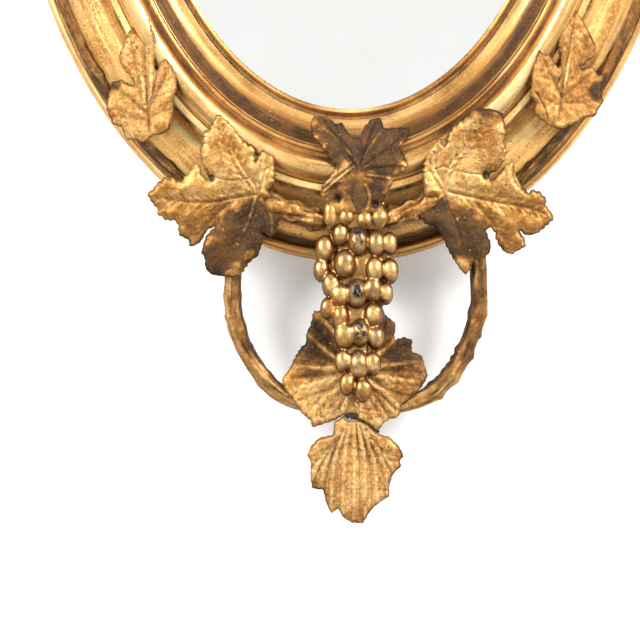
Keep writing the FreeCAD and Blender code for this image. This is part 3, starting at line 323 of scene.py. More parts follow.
RAIL_MATT = gilt("gilt_plate", 1.5, rough=0.36, speckle=0.22, pale=0.75, grain=0.2, shine=0.85, pitted=0.9,
                 varnish=0.15, swept=True)
RAIL_BRIGHT = gilt("gilt_burnished", 1.2, rough=0.25, speckle=0.10, pale=0.5, grain=0.08, pitted=0.45,
                   varnish=0.5, swept=True)
RIM_GILT = gilt("gilt_rim", 1.25, rough=0.30, speckle=0.15, pale=0.3, grain=0.1, swept=True)
LEAF_GILT = gilt("gilt_leaf", 0.98, rough=0.34, speckle=0.85, pale=0.4, grain=0.9, shine=0.7, pitted=0.7)
DULL_LEAF = gilt("gilt_leaf_dulled", 1.12, rough=0.42, speckle=1.0, pale=0.35, grain=0.9, shine=0.45,
                 pitted=0.6)
GRAPE_GILT = gilt("gilt_grape", 0.97, rough=0.31, speckle=0.35, pale=0.25, grain=0.2, varnish=0.3,
                  worn_black=True)
STEM_GILT = gilt("gilt_stem", 0.75, rough=0.38, speckle=0.9, pale=0.2, grain=1.0, shine=0.6, pitted=0.8,
                 streaked=True)
PINE = timber("aged_pine", PALE_PINE, DARK_PINE, "Z")
PINE_ACROSS = timber("aged_pine_across", PALE_PINE, DARK_PINE, "X")
BOARD = timber("aged_board", linear(160, 122, 84), linear(104, 72, 46), "Z", 0.8)
BRASS = metal("dulled_brass", linear(190, 152, 84), linear(112, 84, 44), 0.34)
STEEL = metal("dulled_steel", linear(150, 148, 142), linear(92, 80, 68), 0.36)
FELT = cloth("grey_felt", linear(96, 98, 92), linear(70, 72, 66))
LEATHER = cloth("brown_leather", linear(96, 64, 42), linear(62, 40, 28))
CRACK_SHADE_FILL = cloth("crack_shade_fill", linear(52, 38, 26), BLACKENED)
GLASS = silvered_glass()


def dress(material, *names):
    """Give CAD nodes a material."""
    for name in names:
        data = nodes[name].data
        data.materials.clear()
        data.materials.append(material)


dress(PINE, "carcass_left", "carcass_right")
dress(PINE_ACROSS, "carcass_top", "carcass_bottom", "carcass_splines")
dress(BOARD, "backboard_left", "backboard_middle", "backboard_right")
dress(GLASS, "mirror_glass")
dress(FELT, "backing_felt")
dress(BRASS, "hanging_plate", *["turn_button_%d" % k for k in range(1, 9)])
dress(STEEL, "leaf_pins", "pendant_wire_left", "pendant_wire_right", "pendant_leaf_dowel", "bumper_tacks")
dress(LEATHER, "wall_bumper_left", "wall_bumper_right")


# Meshes
def piece(name, points, faces, material, node, slot="gilt", uv=None, **fields):
    """A smooth mesh with its point fields, riding on the frame in place of a CAD node."""
    mesh = bpy.data.meshes.new(name)
    mesh.from_pydata([tuple(p) for p in points], [], faces)
    for key, values in fields.items():
        made = mesh.attributes.new(key, "FLOAT", "POINT")
        made.data.foreach_set("value", np.asarray(values, dtype=np.float32))
    if uv is not None:
        layer = mesh.uv_layers.new(name="grain")
        layer.data.foreach_set("uv", np.asarray(uv, dtype=np.float32).ravel())
    mesh.polygons.foreach_set("use_smooth", np.ones(len(mesh.polygons), dtype=bool))
    mesh.materials.append(material)
    mesh.validate()
    made = bpy.data.objects.new(name, mesh)
    scene.collection.objects.link(made)
    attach(made, "root")
    if node:
        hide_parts(node)
    return made


QUAD = ((0, 0), (0, 1), (1, 1), (1, 0))


def grid_faces(rows, columns, row_spans, column_spans, first=0):
    """Faces of a grid of points, which closes in a direction with as many spans as points."""
    return [tuple(first + (row + down) % rows * columns + (column + over) % columns for down, over in QUAD)
            for row in range(row_spans) for column in range(column_spans)]


def grid_uv(row_places, column_places):
    """Their UV corners, from the places of rows and columns."""
    return [(row_places[row + down], column_places[column + over]) for row in range(len(row_places) - 1)
            for column in range(len(column_places) - 1) for down, over in QUAD]


def run_along(points):
    """How far each point of a chain lies from its start."""
    return np.concatenate([[0.0], np.cumsum(np.linalg.norm(np.diff(points, axis=0), axis=1))])


def bent(points, steps):
    """A smooth line through points; steps gives the number of places from one to the next."""
    points = [np.array(p) for p in points]
    padded = [2 * points[0] - points[1], *points, 2 * points[-1] - points[-2]]
    out = []
    for a, b, c, d in zip(padded, padded[1:], padded[2:], padded[3:]):
        count = steps(b, c)
        for t in np.arange(count) / count:
            out.append(0.5 * (2 * b + (c - a) * t + (2 * a - 5 * b + 4 * c - d) * t * t
                              + (3 * b - a - 3 * c + d) * t ** 3))
    return out + [points[-1]]


# Mouldings: a profile is rail shares and levels in millimetres, from the underside at FOOT
PROFILE_SCALE = np.array([MEAN_RAIL_MM, 1.0])
CORNER_REACH, PROFILE_STEP = 0.5, 1.6
STRAIGHT_COSINE = -0.94
RING_STEPS, RING_LENGTH = 480, 1.95
FOOT = 16.05
GESSO_LEVELS, CREST_DEPTH, CREST_WEAR_DEPTH = (17.0, 19.0), 0.6, 3.0
DARK_COVE_SHARES, COVE_START_SHARES = (0.765, 0.922), (0.732, 0.75)
# Painted shade at the bottom of the oval: angles from the bottom, rail shares, and the rim's share
BOTTOM_SHADE_ANGLES, BOTTOM_SHADE_SHARES, RIM_SHARE = (26.0, 10.0), (0.50, 0.30), 0.1

# Dirt and painted shade lie in the quirks and grooves: rail share, width as a share, and strength
GROOVE_SHARES = ((0.100, 0.020, 1.0), (0.133, 0.010, 0.8), (0.255, 0.030, 0.06), (0.430, 0.014, 1.0),
                 (0.492, 0.004, 0.7), (0.677, 0.013, 0.95), (0.730, 0.008, 0.9), (0.941, 0.012, 0.95))


def softened(points, reach):
    """A profile with its sharp corners rounded off."""
    out = [points[0]]
    for before, corner, after in zip(points, points[1:], points[2:]):
        b, c, a = (np.array(p) for p in (before, corner, after))
        back, ahead = b - c, a - c
        long_back, long_ahead = np.linalg.norm(back * PROFILE_SCALE), np.linalg.norm(ahead * PROFILE_SCALE)
        cosine = np.dot(back * PROFILE_SCALE, ahead * PROFILE_SCALE) / (long_back * long_ahead)
        if cosine < STRAIGHT_COSINE:
            out.append(corner)
            continue
        first = c + back * min(reach / long_back, 0.45)
        last = c + ahead * min(reach / long_ahead, 0.45)
        for t in (0.0, 0.33, 0.67, 1.0):
            out.append(tuple((1 - t) ** 2 * first + 2 * t * (1 - t) * c + t * t * last))
    out.append(points[-1])
    return out


def quarter(start, corner, end, count=9):
    """Points of a quarter round, without its start."""
    weight = math.sqrt(0.5)
    start, corner, end = (np.array(p) for p in (start, corner, end))
    out = []
    for t in np.arange(1, count + 1) / count:
        parts = (1 - t) ** 2, 2 * t * (1 - t) * weight, t * t
        out.append(tuple((parts[0] * start + parts[1] * corner + parts[2] * end) / sum(parts)))
    return out


def half_round(west, top, east, foot, count=9):
    """Points of a half round between two rail shares, without its start."""
    middle = (west + east) / 2
    return (quarter((west, foot), (west, top), (middle, top), count)
            + quarter((middle, top), (east, top), (east, foot), count))


def dense(points, step):
    """The same profile with long runs divided."""
    out = [points[0]]
    for a, b in zip(points, points[1:]):
        a, b = np.array(a), np.array(b)
        count = max(1, int(math.ceil(np.linalg.norm((b - a) * PROFILE_SCALE) / step)))
        out += [tuple(a + (b - a) * k / count) for k in range(1, count + 1)]
    return out


def moulding(node, profile, material, wobble=0.12):
    """A profile swept round the oval, a little uneven as hand-laid gesso is."""
    profile = np.array(dense(softened(profile, CORNER_REACH), PROFILE_STEP))
    shares, levels = profile.T
    across, crest = len(profile), levels.max()
    angles = np.linspace(180.0, 540.0, RING_STEPS, endpoint=False)
    rings = []
    for angle in angles:
        x, z = rail_xz(angle, shares)
        rings.append(np.column_stack([x, depth(levels), z]))
    points = np.concatenate(rings)
    share_all, level_all = np.tile(shares, RING_STEPS), np.tile(levels, RING_STEPS)
    slow, quick = noise_at(points, 22.0, 3.0), noise_at(points, 85.0, 9.0)
    free = smooth_step(*GESSO_LEVELS, level_all)
    points[:, 1] -= free * (wobble * slow + 0.5 * wobble * quick) * MM
    # Painted shade with dirt in the quirks and grooves, none near the crest
    dirt = sum(strength * hump(share_all - place, width) for place, width, strength in GROOVE_SHARES)
    dirt = np.clip(dirt * (0.85 + 0.5 * quick), 0.0, 1.0) * (level_all < crest - CREST_DEPTH)

    # The steep side of the inner cove is coloured darker, and painted shade darkens the plate and the rim at
    # the bottom
    dark_from, dark_to = DARK_COVE_SHARES
    tone = 1 - smooth_step(dark_from, dark_to + 0.03 * slow, share_all)
    tone *= smooth_step(*COVE_START_SHARES, share_all)
    bottom = smooth_step(*BOTTOM_SHADE_ANGLES, np.abs(np.repeat(angles, across) - 360.0))
    bottom *= (0.20 + 0.16 * (share_all < RIM_SHARE)) * smooth_step(*BOTTOM_SHADE_SHARES, share_all)
    wear = np.clip(smooth_step(crest - CREST_WEAR_DEPTH, crest, level_all) * (0.5 + slow), 0.0, 1.0)
    uv = grid_uv(RING_LENGTH * np.arange(RING_STEPS + 1) / RING_STEPS,
                 run_along(profile * PROFILE_SCALE) * MM)
    piece("gilded_" + node, points, grid_faces(RING_STEPS, across, RING_STEPS, across - 1), material, node,
          uv=uv, dirt=dirt, tone=np.maximum(tone, bottom), wear=wear)


RIM_PROFILE = [(0.08, FOOT), (0.0, FOOT), (0.0, 18.5), *half_round(0.0, 24.0, 0.08, 18.5), (0.08, FOOT)]
COVE_PROFILE = [(0.4895, FOOT), (0.14, FOOT), (0.12, 25.0), (0.127, 27.5), (0.20, 27.5),
                *quarter((0.20, 27.5), (0.26, 25.5), (0.31, 27.5)),
                *quarter((0.31, 27.5), (0.40, 27.5), (0.42, 37.0)),
                (0.445, 37.0), (0.445, 44.0), (0.4895, 44.0), (0.4895, FOOT)]
TORUS_PROFILE = [(0.7295, FOOT), (0.49, FOOT), (0.49, 43.0), (0.495, 43.0),
                 *quarter((0.495, 43.0), (0.495, 54.0), (0.58, 54.0), 14),
                 *quarter((0.58, 54.0), (0.665, 54.0), (0.665, 44.5), 14),
                 (0.69, 44.5), *half_round(0.69, 49.0, 0.725, 44.5, 6), (0.7295, 44.5), (0.7295, FOOT)]
SIGHT_PROFILE = [(1.0, FOOT), (0.73, FOOT), (0.73, 46.0), (0.735, 46.0),
                 *quarter((0.735, 46.0), (0.735, 23.0), (0.93, 23.0), 20),
                 (0.93, 20.5), (0.953, 20.5), *half_round(0.953, 26.0, 1.0, 20.5, 7), (1.0, FOOT)]
moulding("rim_bead", RIM_PROFILE, RIM_GILT)
moulding("cove_moulding", COVE_PROFILE, RAIL_MATT, wobble=0.2)
moulding("torus_moulding", TORUS_PROFILE, RAIL_BRIGHT)
moulding("sight_moulding", SIGHT_PROFILE, RAIL_BRIGHT)


# Leaves: veins and marks in hundredths of the reach, from the point where the veins meet.
# A vein is a height in millimetres, then its points. A dark or a gold patch is x, z, radius and strength,
# an eye is x, z and radius, and a hole is x, z and its two half widths.
def fan_fold(k):
    """One fold of the fan on the hanging leaf, as a vein."""
    lift = 0.4 if k % 2 else -0.4 - 0.25 * math.sin(2.7 * k)
    turn = 0.23 * k
    middle, end = turn + 0.05 * math.sin(4 * k), turn + 0.06 * math.sin(5 * k)
    return (lift, (16 * math.cos(turn), 16 * math.sin(turn)), (36 * math.cos(middle), 36 * math.sin(middle)),
            (62 * math.cos(end), 60 * math.sin(end)))


def flute(k):
    """One long flute of the hanging leaf's tip, as a vein."""
    lift = (-0.62 if k % 2 else 0.6) * (1.0 + 0.45 * math.sin(2.3 * k))
    return (lift, (2.1 * k - 2 + 0.6 * math.sin(4 * k), 47 - 0.3 * k * k), (4.5 * k - 2, 18 - 0.2 * k * k),
            (5.6 * k - 2 + 0.8 * math.sin(3 * k), -14), (5.8 * k - 2, 0.4 * k * k - 50))


def short_flute(k):
    """One flute between two long ones, as a vein."""
    return (-0.4 + 0.3 * math.sin(3.1 * k), (5.0 * k + 0.5 + math.sin(5 * k), 10 + 13 * math.sin(7 * k)),
            (5.6 * k + 0.8, -16), (5.8 * k + 1.2 * math.sin(6 * k), 0.4 * k * k - 52))


LEFT = {
    "teeth": 1.5, "crumpled": 0.7, "eyes": ((-43.5, 15, 4),),
    "veins": ((0.8, (0, 2), (-20, 32), (-36, 70)),
              (-1.1, (-1, -1), (-19, -4), (-43, -8.5), (-67, -8.5), (-92, -5)),
              (0.8, (0, -4), (-6, -24), (-14, -42), (-30, -72)), (0.5, (2, 5), (7, 22), (8, 36)),
              (-0.5, (-22, -7), (-42, -24), (-62, -46)), (0.4, (5, -6), (15, -22), (16, -38))),
    "cracks": (((-46, 18), (-33, 14), (-24, 13), (-7, 15)),),
    "dark": ((-11, -48, 37, 100), (14, -24, 25, 100), (-30, -66, 28, 100), (-3, -24, 19, 100),
             (-58, -30, 24, 50), (-36, -22, 20, 50), (-95, 2, 16, 35), (-30, 48, 16, 35), (-80, -14, 24, 36)),
    "gold": ((-20, -78, 10, 70), (-6, -62, 6, 60))}
RIGHT = {
    "teeth": 1.6, "crumpled": 0.7, "eyes": ((40.5, 16.5, 4.8),),
    "veins": ((0.9, (0, 1), (3, 17), (12, 32), (25, 44), (45, 70)),
              (-1.1, (3, 0), (30, -6), (53, -11), (82, -16), (100, -22)),
              (-0.7, (0, -4), (4, -18), (10, -29), (20, -62)), (0.5, (-2, 4), (-12, 22), (-10, 42)),
              (0.5, (-3, -4), (-14, -14), (-22, -20)), (-0.4, (28, -10), (48, -32), (62, -52))),
    "cracks": (((11, 21), (25, 18), (39, 17)), ((-10, 22), (-2, 25), (5, 22)),
               ((68, 28), (69, 12), (80, -2))),
    "dark": ((-15, -20, 20, 100), (5, -42, 26, 100), (28, -50, 22, 100), (16, -28, 17, 80), (40, 84, 13, 90),
             (18, 78, 10, 80), (55, 80, 8, 70), (80, -20, 20, 42), (62, -45, 18, 48), (36, -22, 18, 40),
             (92, -12, 12, 45), (40, 55, 18, 30))}
CENTRE = {
    "crumpled": 1.7, "lost": 0.2, "eyes": ((-17.5, -27, 4.5), (19.5, -33, 4.5)),
    "veins": ((-1.2, (2, 2), (-14, 28), (-32, 52)), (-1.2, (4, 6), (12, 30), (20, 50)),
              (-1.0, (5, 4), (28, 20), (48, 38)), (-0.9, (5, 0), (28, 4), (48, 4)),
              (0.9, (-5, 16), (-18, 32), (-40, 50)), (0.9, (8, 14), (18, 30), (30, 46)),
              (0.8, (12, -4), (30, -6), (42, -10)), (0.8, (10, -14), (14, -26), (12, -38)),
              (0.5, (-34, -16), (-20, -4), (-5, 8), (5, 15)), (1.1, (-31, -19), (-17, -7), (-2, 5)),
              (-0.9, (-33, -17.5), (-18, -5), (-3, 7)), (-0.7, (-30, -27), (-20, -15), (-12, -12)),
              (-0.7, (2, -40), (-4, -26), (-2, -14))),
    "cracks": (((4, 34), (7, 22), (2, 12)), ((-20, 46), (-14, 32), (-5, 22))),
    "dark": ((16, 10, 34, 100), (32, 32, 30, 100), (10, -20, 26, 90), (-18, 34, 22, 100), (-36, 46, 14, 70),
             (-20, 12, 14, 70), (-20, -20, 13, 75)),
    "gold": ((6, -4, 11, 45), (-43, 50, 6, 80), (-22, -5, 7, 90), (-10, 5, 6, 70), (38, -7, 7, 80),
             (48, 24, 6, 70), (33, -20, 6, 80), (-33, 24, 5, 50))}
CLIMB_LEFT = {
    "crumpled": 0.5, "lost": 0.25, "gilding": DULL_LEAF,
    "veins": ((-0.8, (2, -14), (0, 20), (-2, 55), (-5, 98)), (-0.6, (0, 4), (-18, 20), (-34, 32)),
              (-0.6, (0, 6), (12, 28), (22, 50)), (-0.4, (0, -2), (-20, 0), (-36, 2)),
              (-0.4, (2, 0), (16, 6), (24, 8)), (0.7, (-3, 16), (-6, 50), (-10, 92)),
              (0.7, (3, 16), (4, 50), (2, 92)), (-0.5, (-6, 22), (-12, 55), (-18, 86))),
    "cracks": (((10, 46), (7, 30), (3, 16)),),
    "dark": ((0, 35, 60, 26), (-10, 90, 12, 50), (14, -10, 10, 35), (-32, 34, 7, 80), (-36, -2, 10, 35))}
CLIMB_RIGHT = {
    "crumpled": 0.5, "lost": 0.25, "gilding": DULL_LEAF,
    "veins": ((-0.8, (0, -18), (5, 20), (12, 58), (17, 92)), (-0.6, (4, 6), (22, 20), (36, 32)),
              (-0.6, (3, 8), (-8, 28), (-17, 48)), (-0.4, (2, 0), (22, 0), (42, 5)),
              (-0.4, (0, -2), (-14, 4), (-24, 10)), (0.7, (6, 16), (12, 50), (18, 86)),
              (-0.5, (0, 22), (3, 50), (6, 78)), (-0.5, (14, 22), (24, 46), (30, 66))),
    "cracks": (((2, 42), (4, 30), (-2, 18)), ((-22, 10), (-14, -4), (-10, -16))),
    "dark": ((5, 30, 60, 38), (40, 12, 12, 90), (30, 62, 10, 50), (24, 36, 7, 60), (5, 5, 22, 32),
             (28, 0, 16, 35), (-16, 30, 10, 30))}
PENDANT = {
    "crumpled": 0.9, "lost": 0.2, "held": 0.6, "width": 1.5, "gilding": DULL_LEAF,
    "hole": (-5, -45.2, 6.2, 3),
    "veins": ((-0.8, (-6, 2), (-30, -3), (-64, -6)), (-0.7, (-8, -10), (-24, -17), (-50, -25)),
              (-0.6, (-6, 10), (-26, 30), (-42, 50)), (-0.7, (10, 8), (32, 18), (50, 28)),
              (-0.6, (10, 0), (36, 2), (64, 0)), (-0.6, (8, -12), (28, -26), (40, -38)),
              (0.7, (2, -10), (2, -30), (4, -46)), (-0.5, (-4, -14), (-16, -34), (-28, -48)),
              (-0.5, (8, 16), (22, 34), (30, 50)), *(fan_fold(k) for k in range(-6, 21) if not 4 < k < 9)),
    "cracks": (((0, -26), (-2, -32), (0, -36)), ((0, -30), (3, -33), (2, -38))),
    "dark": ((-42, 34, 26, 85), (-48, 10, 20, 60), (44, 22, 26, 85), (56, 0, 20, 60), (30, 46, 20, 80),
             (48, -20, 16, 55), (-26, 22, 14, 70), (-62, -6, 12, 40))}
TIP = {
    "crumpled": 0.9, "lost": 0.25, "held": 0.25, "width": 1.15, "step": 0.7, "teeth": 0.7,
    "gilding": DULL_LEAF, "hole": (-5, 52.5, 6.2, 3.4), "cracks": (),
    "veins": (*(flute(k) for k in range(-8, 9)), *(short_flute(k) for k in range(-6, 6))),
    "dark": ((44, 16, 8, 50), (-40, -16, 10, 45), (10, -46, 10, 40))}

# A seat is an angle on the rail and a rail share. A leaf is its node, design, seat and turn,
# and the pendant's two leaves give their drop in millimetres instead.
LEFT_SEAT, RIGHT_SEAT, CENTRE_SEAT = (-18.2, 0.30), (18.3, 0.31), (1.1, 0.584)
LEAVES = (("left_leaf", LEFT, *LEFT_SEAT, 0.0), ("right_leaf", RIGHT, *RIGHT_SEAT, 0.0),
          ("climbing_leaf_left", CLIMB_LEFT, -40.6, 0.23, 0.0),
          ("climbing_leaf_right", CLIMB_RIGHT, 42.6, 0.27, 0.0),
          ("middle_leaf_left", CLIMB_LEFT, -84.0, 0.24, 6.0),
          ("middle_leaf_right", CLIMB_RIGHT, 84.0, 0.27, -6.0),
          ("shoulder_leaf_left", CLIMB_LEFT, -124.0, 0.24, 24.0),
          ("shoulder_leaf_right", CLIMB_RIGHT, 124.0, 0.27, -24.0),
          ("crest_leaf_left", RIGHT, 198.3, 0.31, 180.0), ("crest_leaf_right", LEFT, 161.8, 0.30, 180.0),
          ("crest_leaf_centre", CENTRE, 180.0, 0.584, 180.0), ("centre_leaf", CENTRE, *CENTRE_SEAT, 0.0))
HANGING = (("pendant_leaf", PENDANT, 82.5), ("pendant_leaf_tip", TIP, 156.0))
WITHOUT_POST = ("crest_leaf_centre", "pendant_leaf", "pendant_leaf_tip")

# Sizes of the leaf meshes, the pin that a leaf hangs on and the post behind it
OUTLINE_STEP, LEAF_STEP_MM, RIM_GAP = 0.8 * MM, 0.95, 0.7 * MM
TOOTH_PITCH = 5.2 * MM
ROW_SHARE, CORNER_SHARE = 0.87, 0.18
MERGE, SAME_POINT = 2e-6, 1e-7
PIN_HOLE, PIN_REACH = 2.2 * MM, 3 * MM
POST_RADIUS, POST_SEAT, POST_STEPS = 6.8 * MM, 8 * MM, 24
VEIN_STEP, CURVE_STEPS = 0.006, 8
IN_FRONT_Y = -0.5

# A leaf's relief and thickness in millimetres: swell between the veins, marks, fall to the edge, shell
SWELL, SWELL_FROM_VEIN, SWELL_FROM_EDGE = 1.7, 11.0, 7.0
SMALL_VEIN_DEPTH, CRACK_DEPTH, EYE_DEPTH, PIN_HEIGHT = 0.45, 0.8, 2.4, 0.3
EDGE_FALL, EDGE_FALL_WIDTH = 1.5, 3.6
EDGE_THICK, INNER_THICK, THICK_FROM_EDGE, LEAST_THICK = 2.0, 2.6, 9.0, 0.9

# Drops under the middle leaf and the ridge that they grow from: shares of the reach, then half sizes
DROP_SHARES = ((-0.25, -0.425), (-0.09, -0.42), (0.09, -0.465), (0.24, -0.455))
DROP_SIZE = (5.8 * MM, 8.8 * MM, 5.2 * MM)
RIDGE_SHARES, RIDGE_SIZE = (0.0, -0.33), (20 * MM, 5.0 * MM, 2.6 * MM)
DROP_ROWS, DROP_STEPS, DROP_SINK = 12, 20, 0.8 * MM


def cad_mesh(node):
    """A CAD node's mesh with its split corners merged."""
    made = bmesh.new()
    made.from_mesh(nodes[node].data)
    bmesh.ops.remove_doubles(made, verts=made.verts, dist=MERGE)
    made.normal_update()
    return made


def area(loop):
    """The area inside a closed outline, above zero if it runs against the clock."""
    after = np.roll(loop, -1, axis=0)
    return np.sum(loop[:, 0] * after[:, 1] - loop[:, 1] * after[:, 0]) / 2


def front_outline(made):
    """The largest edge loop round the faces that look to the front, as x and z."""
    front = {face for face in made.faces if face.normal.y < -0.35}
    follow = {}
    for face in (face for face in made.faces if face in front):
        for loop in face.loops:
            if not any(other in front for other in loop.edge.link_faces if other is not face):
                follow.setdefault(loop.vert, loop.link_loop_next.vert)
    chains, used = [], set()
    for here in follow:
        chain = []
        while here not in used and here in follow:
            used.add(here)
            chain.append((here.co.x, here.co.z))
            here = follow[here]
        if chain:
            chains.append(np.array(chain))
    return max(chains, key=lambda chain: abs(area(chain)))


def toothed(loop, pitch, size):
    """An outline with small uneven teeth."""
    along = np.roll(loop, -1, axis=0) - np.roll(loop, 1, axis=0)
    along /= np.maximum(np.linalg.norm(along, axis=1), 1e-9)[:, None]
    outward = np.column_stack([along[:, 1], -along[:, 0]]) * (-1 if area(loop) < 0 else 1)
    solid = np.column_stack([loop[:, 0], np.zeros(len(loop)), loop[:, 1]])
    wave = (run_along(loop) / pitch + 0.9 * noise_at(solid, 60.0, 7.0)) % 1.0
    tooth = np.where(wave < 0.7, wave / 0.7, (1.0 - wave) / 0.3) - 0.6
    strength = np.clip(0.6 + 1.2 * noise_at(solid, 45.0, 3.0), 0.15, 1.2)
    return loop + outward * (size * strength * tooth)[:, None]


def rounded_loop(points, step):
    """A closed outline with its corners cut, then with points at an even step."""
    after = np.roll(points, -1, axis=0)
    near, far = 1.0 - CORNER_SHARE, CORNER_SHARE
    points = np.stack([near * points + far * after, far * points + near * after], axis=1).reshape(-1, 2)
    closed = np.vstack([points, points[:1]])
    run = run_along(closed)
    places = np.linspace(0.0, run[-1], int(run[-1] / step), endpoint=False)
    return np.column_stack([np.interp(places, run, closed[:, axis]) for axis in (0, 1)])


def line_points(points):
    """Points along a chain of straight runs."""
    out = []
    for a, b in zip(points, points[1:]):
        count = max(2, int(math.dist(a, b) / VEIN_STEP))
        out += [a + (b - a) * k / count for k in range(count)]
    return out + [points[-1]]


def curved(hundredths):
    """A vein's smooth line in shares of the reach."""
    return bent(np.array(hundredths) / 100, lambda start, end: CURVE_STEPS)


def side_veins(line):
    """Small veins that leave a main vein on both sides."""
    out = []
    run = run_along(line)
    for number, place in enumerate(np.arange(0.14, run[-1] - 0.03, 0.085)):
        k = int(np.searchsorted(run, place))
        along = line[min(k + 1, len(line) - 1)] - line[max(k - 1, 0)]
        along = along / max(np.linalg.norm(along), 1e-6)
        for side in (-1, 1):
            reach = 0.16 * (1.0 - 0.4 * place / run[-1]) * (1.0 if (number + side) % 2 else 0.75)
            across = np.array([-along[1], along[0]]) * side
            out += line_points([line[k], line[k] + (0.78 * along + 0.62 * across) * reach])
    return out


def flat_tree(points, numbers):
    """A search tree over some of the flat points."""
    tree = kdtree.KDTree(len(points))
    for k in numbers:
        tree.insert((points[k][0], points[k][1], 0.0), int(k))
    tree.balance()
    return tree


def nearest(points, targets):
    """Distance from each point to the nearest target."""
    tree = flat_tree(targets, range(len(targets)))
    return np.array([tree.find((p[0], p[1], 0.0))[2] for p in points])


def relaxed(values, flat, faces):
    """Fill the gaps of a height field and smooth it along its triangles."""
    total = len(values)
    a = np.array([face[k] for face in faces for k in range(3)])
    b = np.array([face[(k + 1) % 3] for face in faces for k in range(3)])
    missing = np.isnan(values)
    tree = flat_tree(flat, np.flatnonzero(~missing))
    for k in np.flatnonzero(missing):
        values[k] = values[tree.find((flat[k][0], flat[k][1], 0.0))[1]]
    for _ in range(14):
        total_near, many = np.zeros(total), np.zeros(total)
        np.add.at(total_near, a, values[b])
        np.add.at(many, a, 1.0)
        values = np.where(many > 0, 0.35 * values + 0.65 * total_near / np.maximum(many, 1.0), values)
    return values


def leaf_sheet(node, design, place):
    """The CAD leaf's outline with teeth, filled with triangles: flat points, faces, border and level."""
    made = cad_mesh(node)
    outline = rounded_loop(front_outline(made), OUTLINE_STEP)
    outline = toothed(outline, TOOTH_PITCH, design.get("teeth", 1.0) * MM)
    tree = BVHTree.FromBMesh(made)
    made.free()
    (west, low), (east, high) = outline.min(axis=0), outline.max(axis=0)
    step = design.get("step", LEAF_STEP_MM) * MM
    grid = np.array([(x, z) for j, z in enumerate(np.arange(low, high, step * ROW_SHARE))
                     for x in np.arange(west + (j % 2) * step / 2, east, step)])
    grid = grid[nearest(grid, outline) > RIM_GAP]
    count = len(outline)
    rim = [(k, (k + 1) % count) for k in range(count)]
    done = geometry.delaunay_2d_cdt([Vector(p) for p in (*outline, *grid)], rim, [], 1, SAME_POINT)
    flat = np.array([tuple(p) for p in done[0]])
    faces = [tuple(face) for face in done[2]]
    if "hole" in design:
        x, z, wide, tall = np.array(design["hole"]) / 100
        middles = (np.array([flat[list(face)].mean(axis=0) for face in faces]) - place) / REACH
        kept = np.hypot((middles[:, 0] - x) / wide, (middles[:, 1] - z) / tall) > 1.0
        faces = [face for face, keep in zip(faces, kept) if keep]
    used = sorted({k for face in faces for k in face})
    renumber = {k: number for number, k in enumerate(used)}
    faces = [tuple(renumber[k] for k in face) for face in faces]
    flat = flat[used]
    edges = dict.fromkeys((a, b) for face in faces for a, b in zip(face, face[1:] + face[:1]))
    border = [(a, b) for a, b in edges if (b, a) not in edges]
    level = []
    for x, z in flat:
        hit = tree.ray_cast(Vector((x, IN_FRONT_Y, z)), Vector((0, 1, 0)))[0]
        level.append(hit.y if hit else np.nan)
    level = np.array(level)
    level[np.hypot(*(flat - place).T) < PIN_HOLE] = np.nan
    return flat, faces, border, relaxed(level, flat, faces)


def carved_marks(design, local, edge):
    """Height in millimetres, dirt and painted shade, and worn ridges of a leaf's veins, cracks and eyes."""
    height, dirt, ridge = np.zeros((3, len(local)))
    vein_near = np.full(len(local), np.inf)
    small = []
    for lift, *points in design["veins"]:
        line = curved(points)
        small += side_veins(line)
        away = nearest(local, line_points(line)) * REACH / MM / design.get("width", 1.0)
        vein_near = np.minimum(vein_near, away)
        start = np.linalg.norm(local - line[0], axis=1)
        if lift > 0:
            fade = 1.0 - design.get("held", 0.85) * smooth_step(0.2, 0.6, start)
            ridge = np.maximum(ridge, 0.6 * fade * hump(away, 1.0))
            height += fade * lift * (hump(away, 0.9) - 0.5 * hump(away - 2.2, 1.0))
            dirt = np.maximum(dirt, 0.35 * fade * hump(away - 2.0, 0.7))
        else:
            fade = 1.0 - design.get("lost", 0.55) * smooth_step(0.15, 0.9, start)
            height += fade * lift * (hump(away, 1.0) - 0.3 * hump(away - 2.4, 1.0))
            dirt = np.maximum(dirt, fade * min(1.0, -0.95 * lift) * hump(away, 0.75))
    away = nearest(local, small) * REACH / MM
    height -= SMALL_VEIN_DEPTH * hump(away, 0.8)
    dirt = np.maximum(dirt, 0.22 * hump(away, 0.7))
    height += SWELL * smooth_step(0.0, SWELL_FROM_VEIN, vein_near) * smooth_step(0.0, SWELL_FROM_EDGE, edge)
    for crack in design["cracks"]:
        away = nearest(local, line_points(curved(crack))) * REACH / MM
        height -= CRACK_DEPTH * hump(away, 0.6)
        dirt = np.maximum(dirt, hump(away, 0.55))
    # An eye is a hollow with a painted shadow in it
    for x, z, size in np.array(design.get("eyes", ())) / 100:
        away = np.hypot(local[:, 0] - x, (local[:, 1] - z) * 0.8) / size
        height -= EYE_DEPTH * hump(away, 1.0)
        dirt = np.maximum(dirt, 1.0 - smooth_step(0.55, 1.1, away))
    return height, dirt, ridge


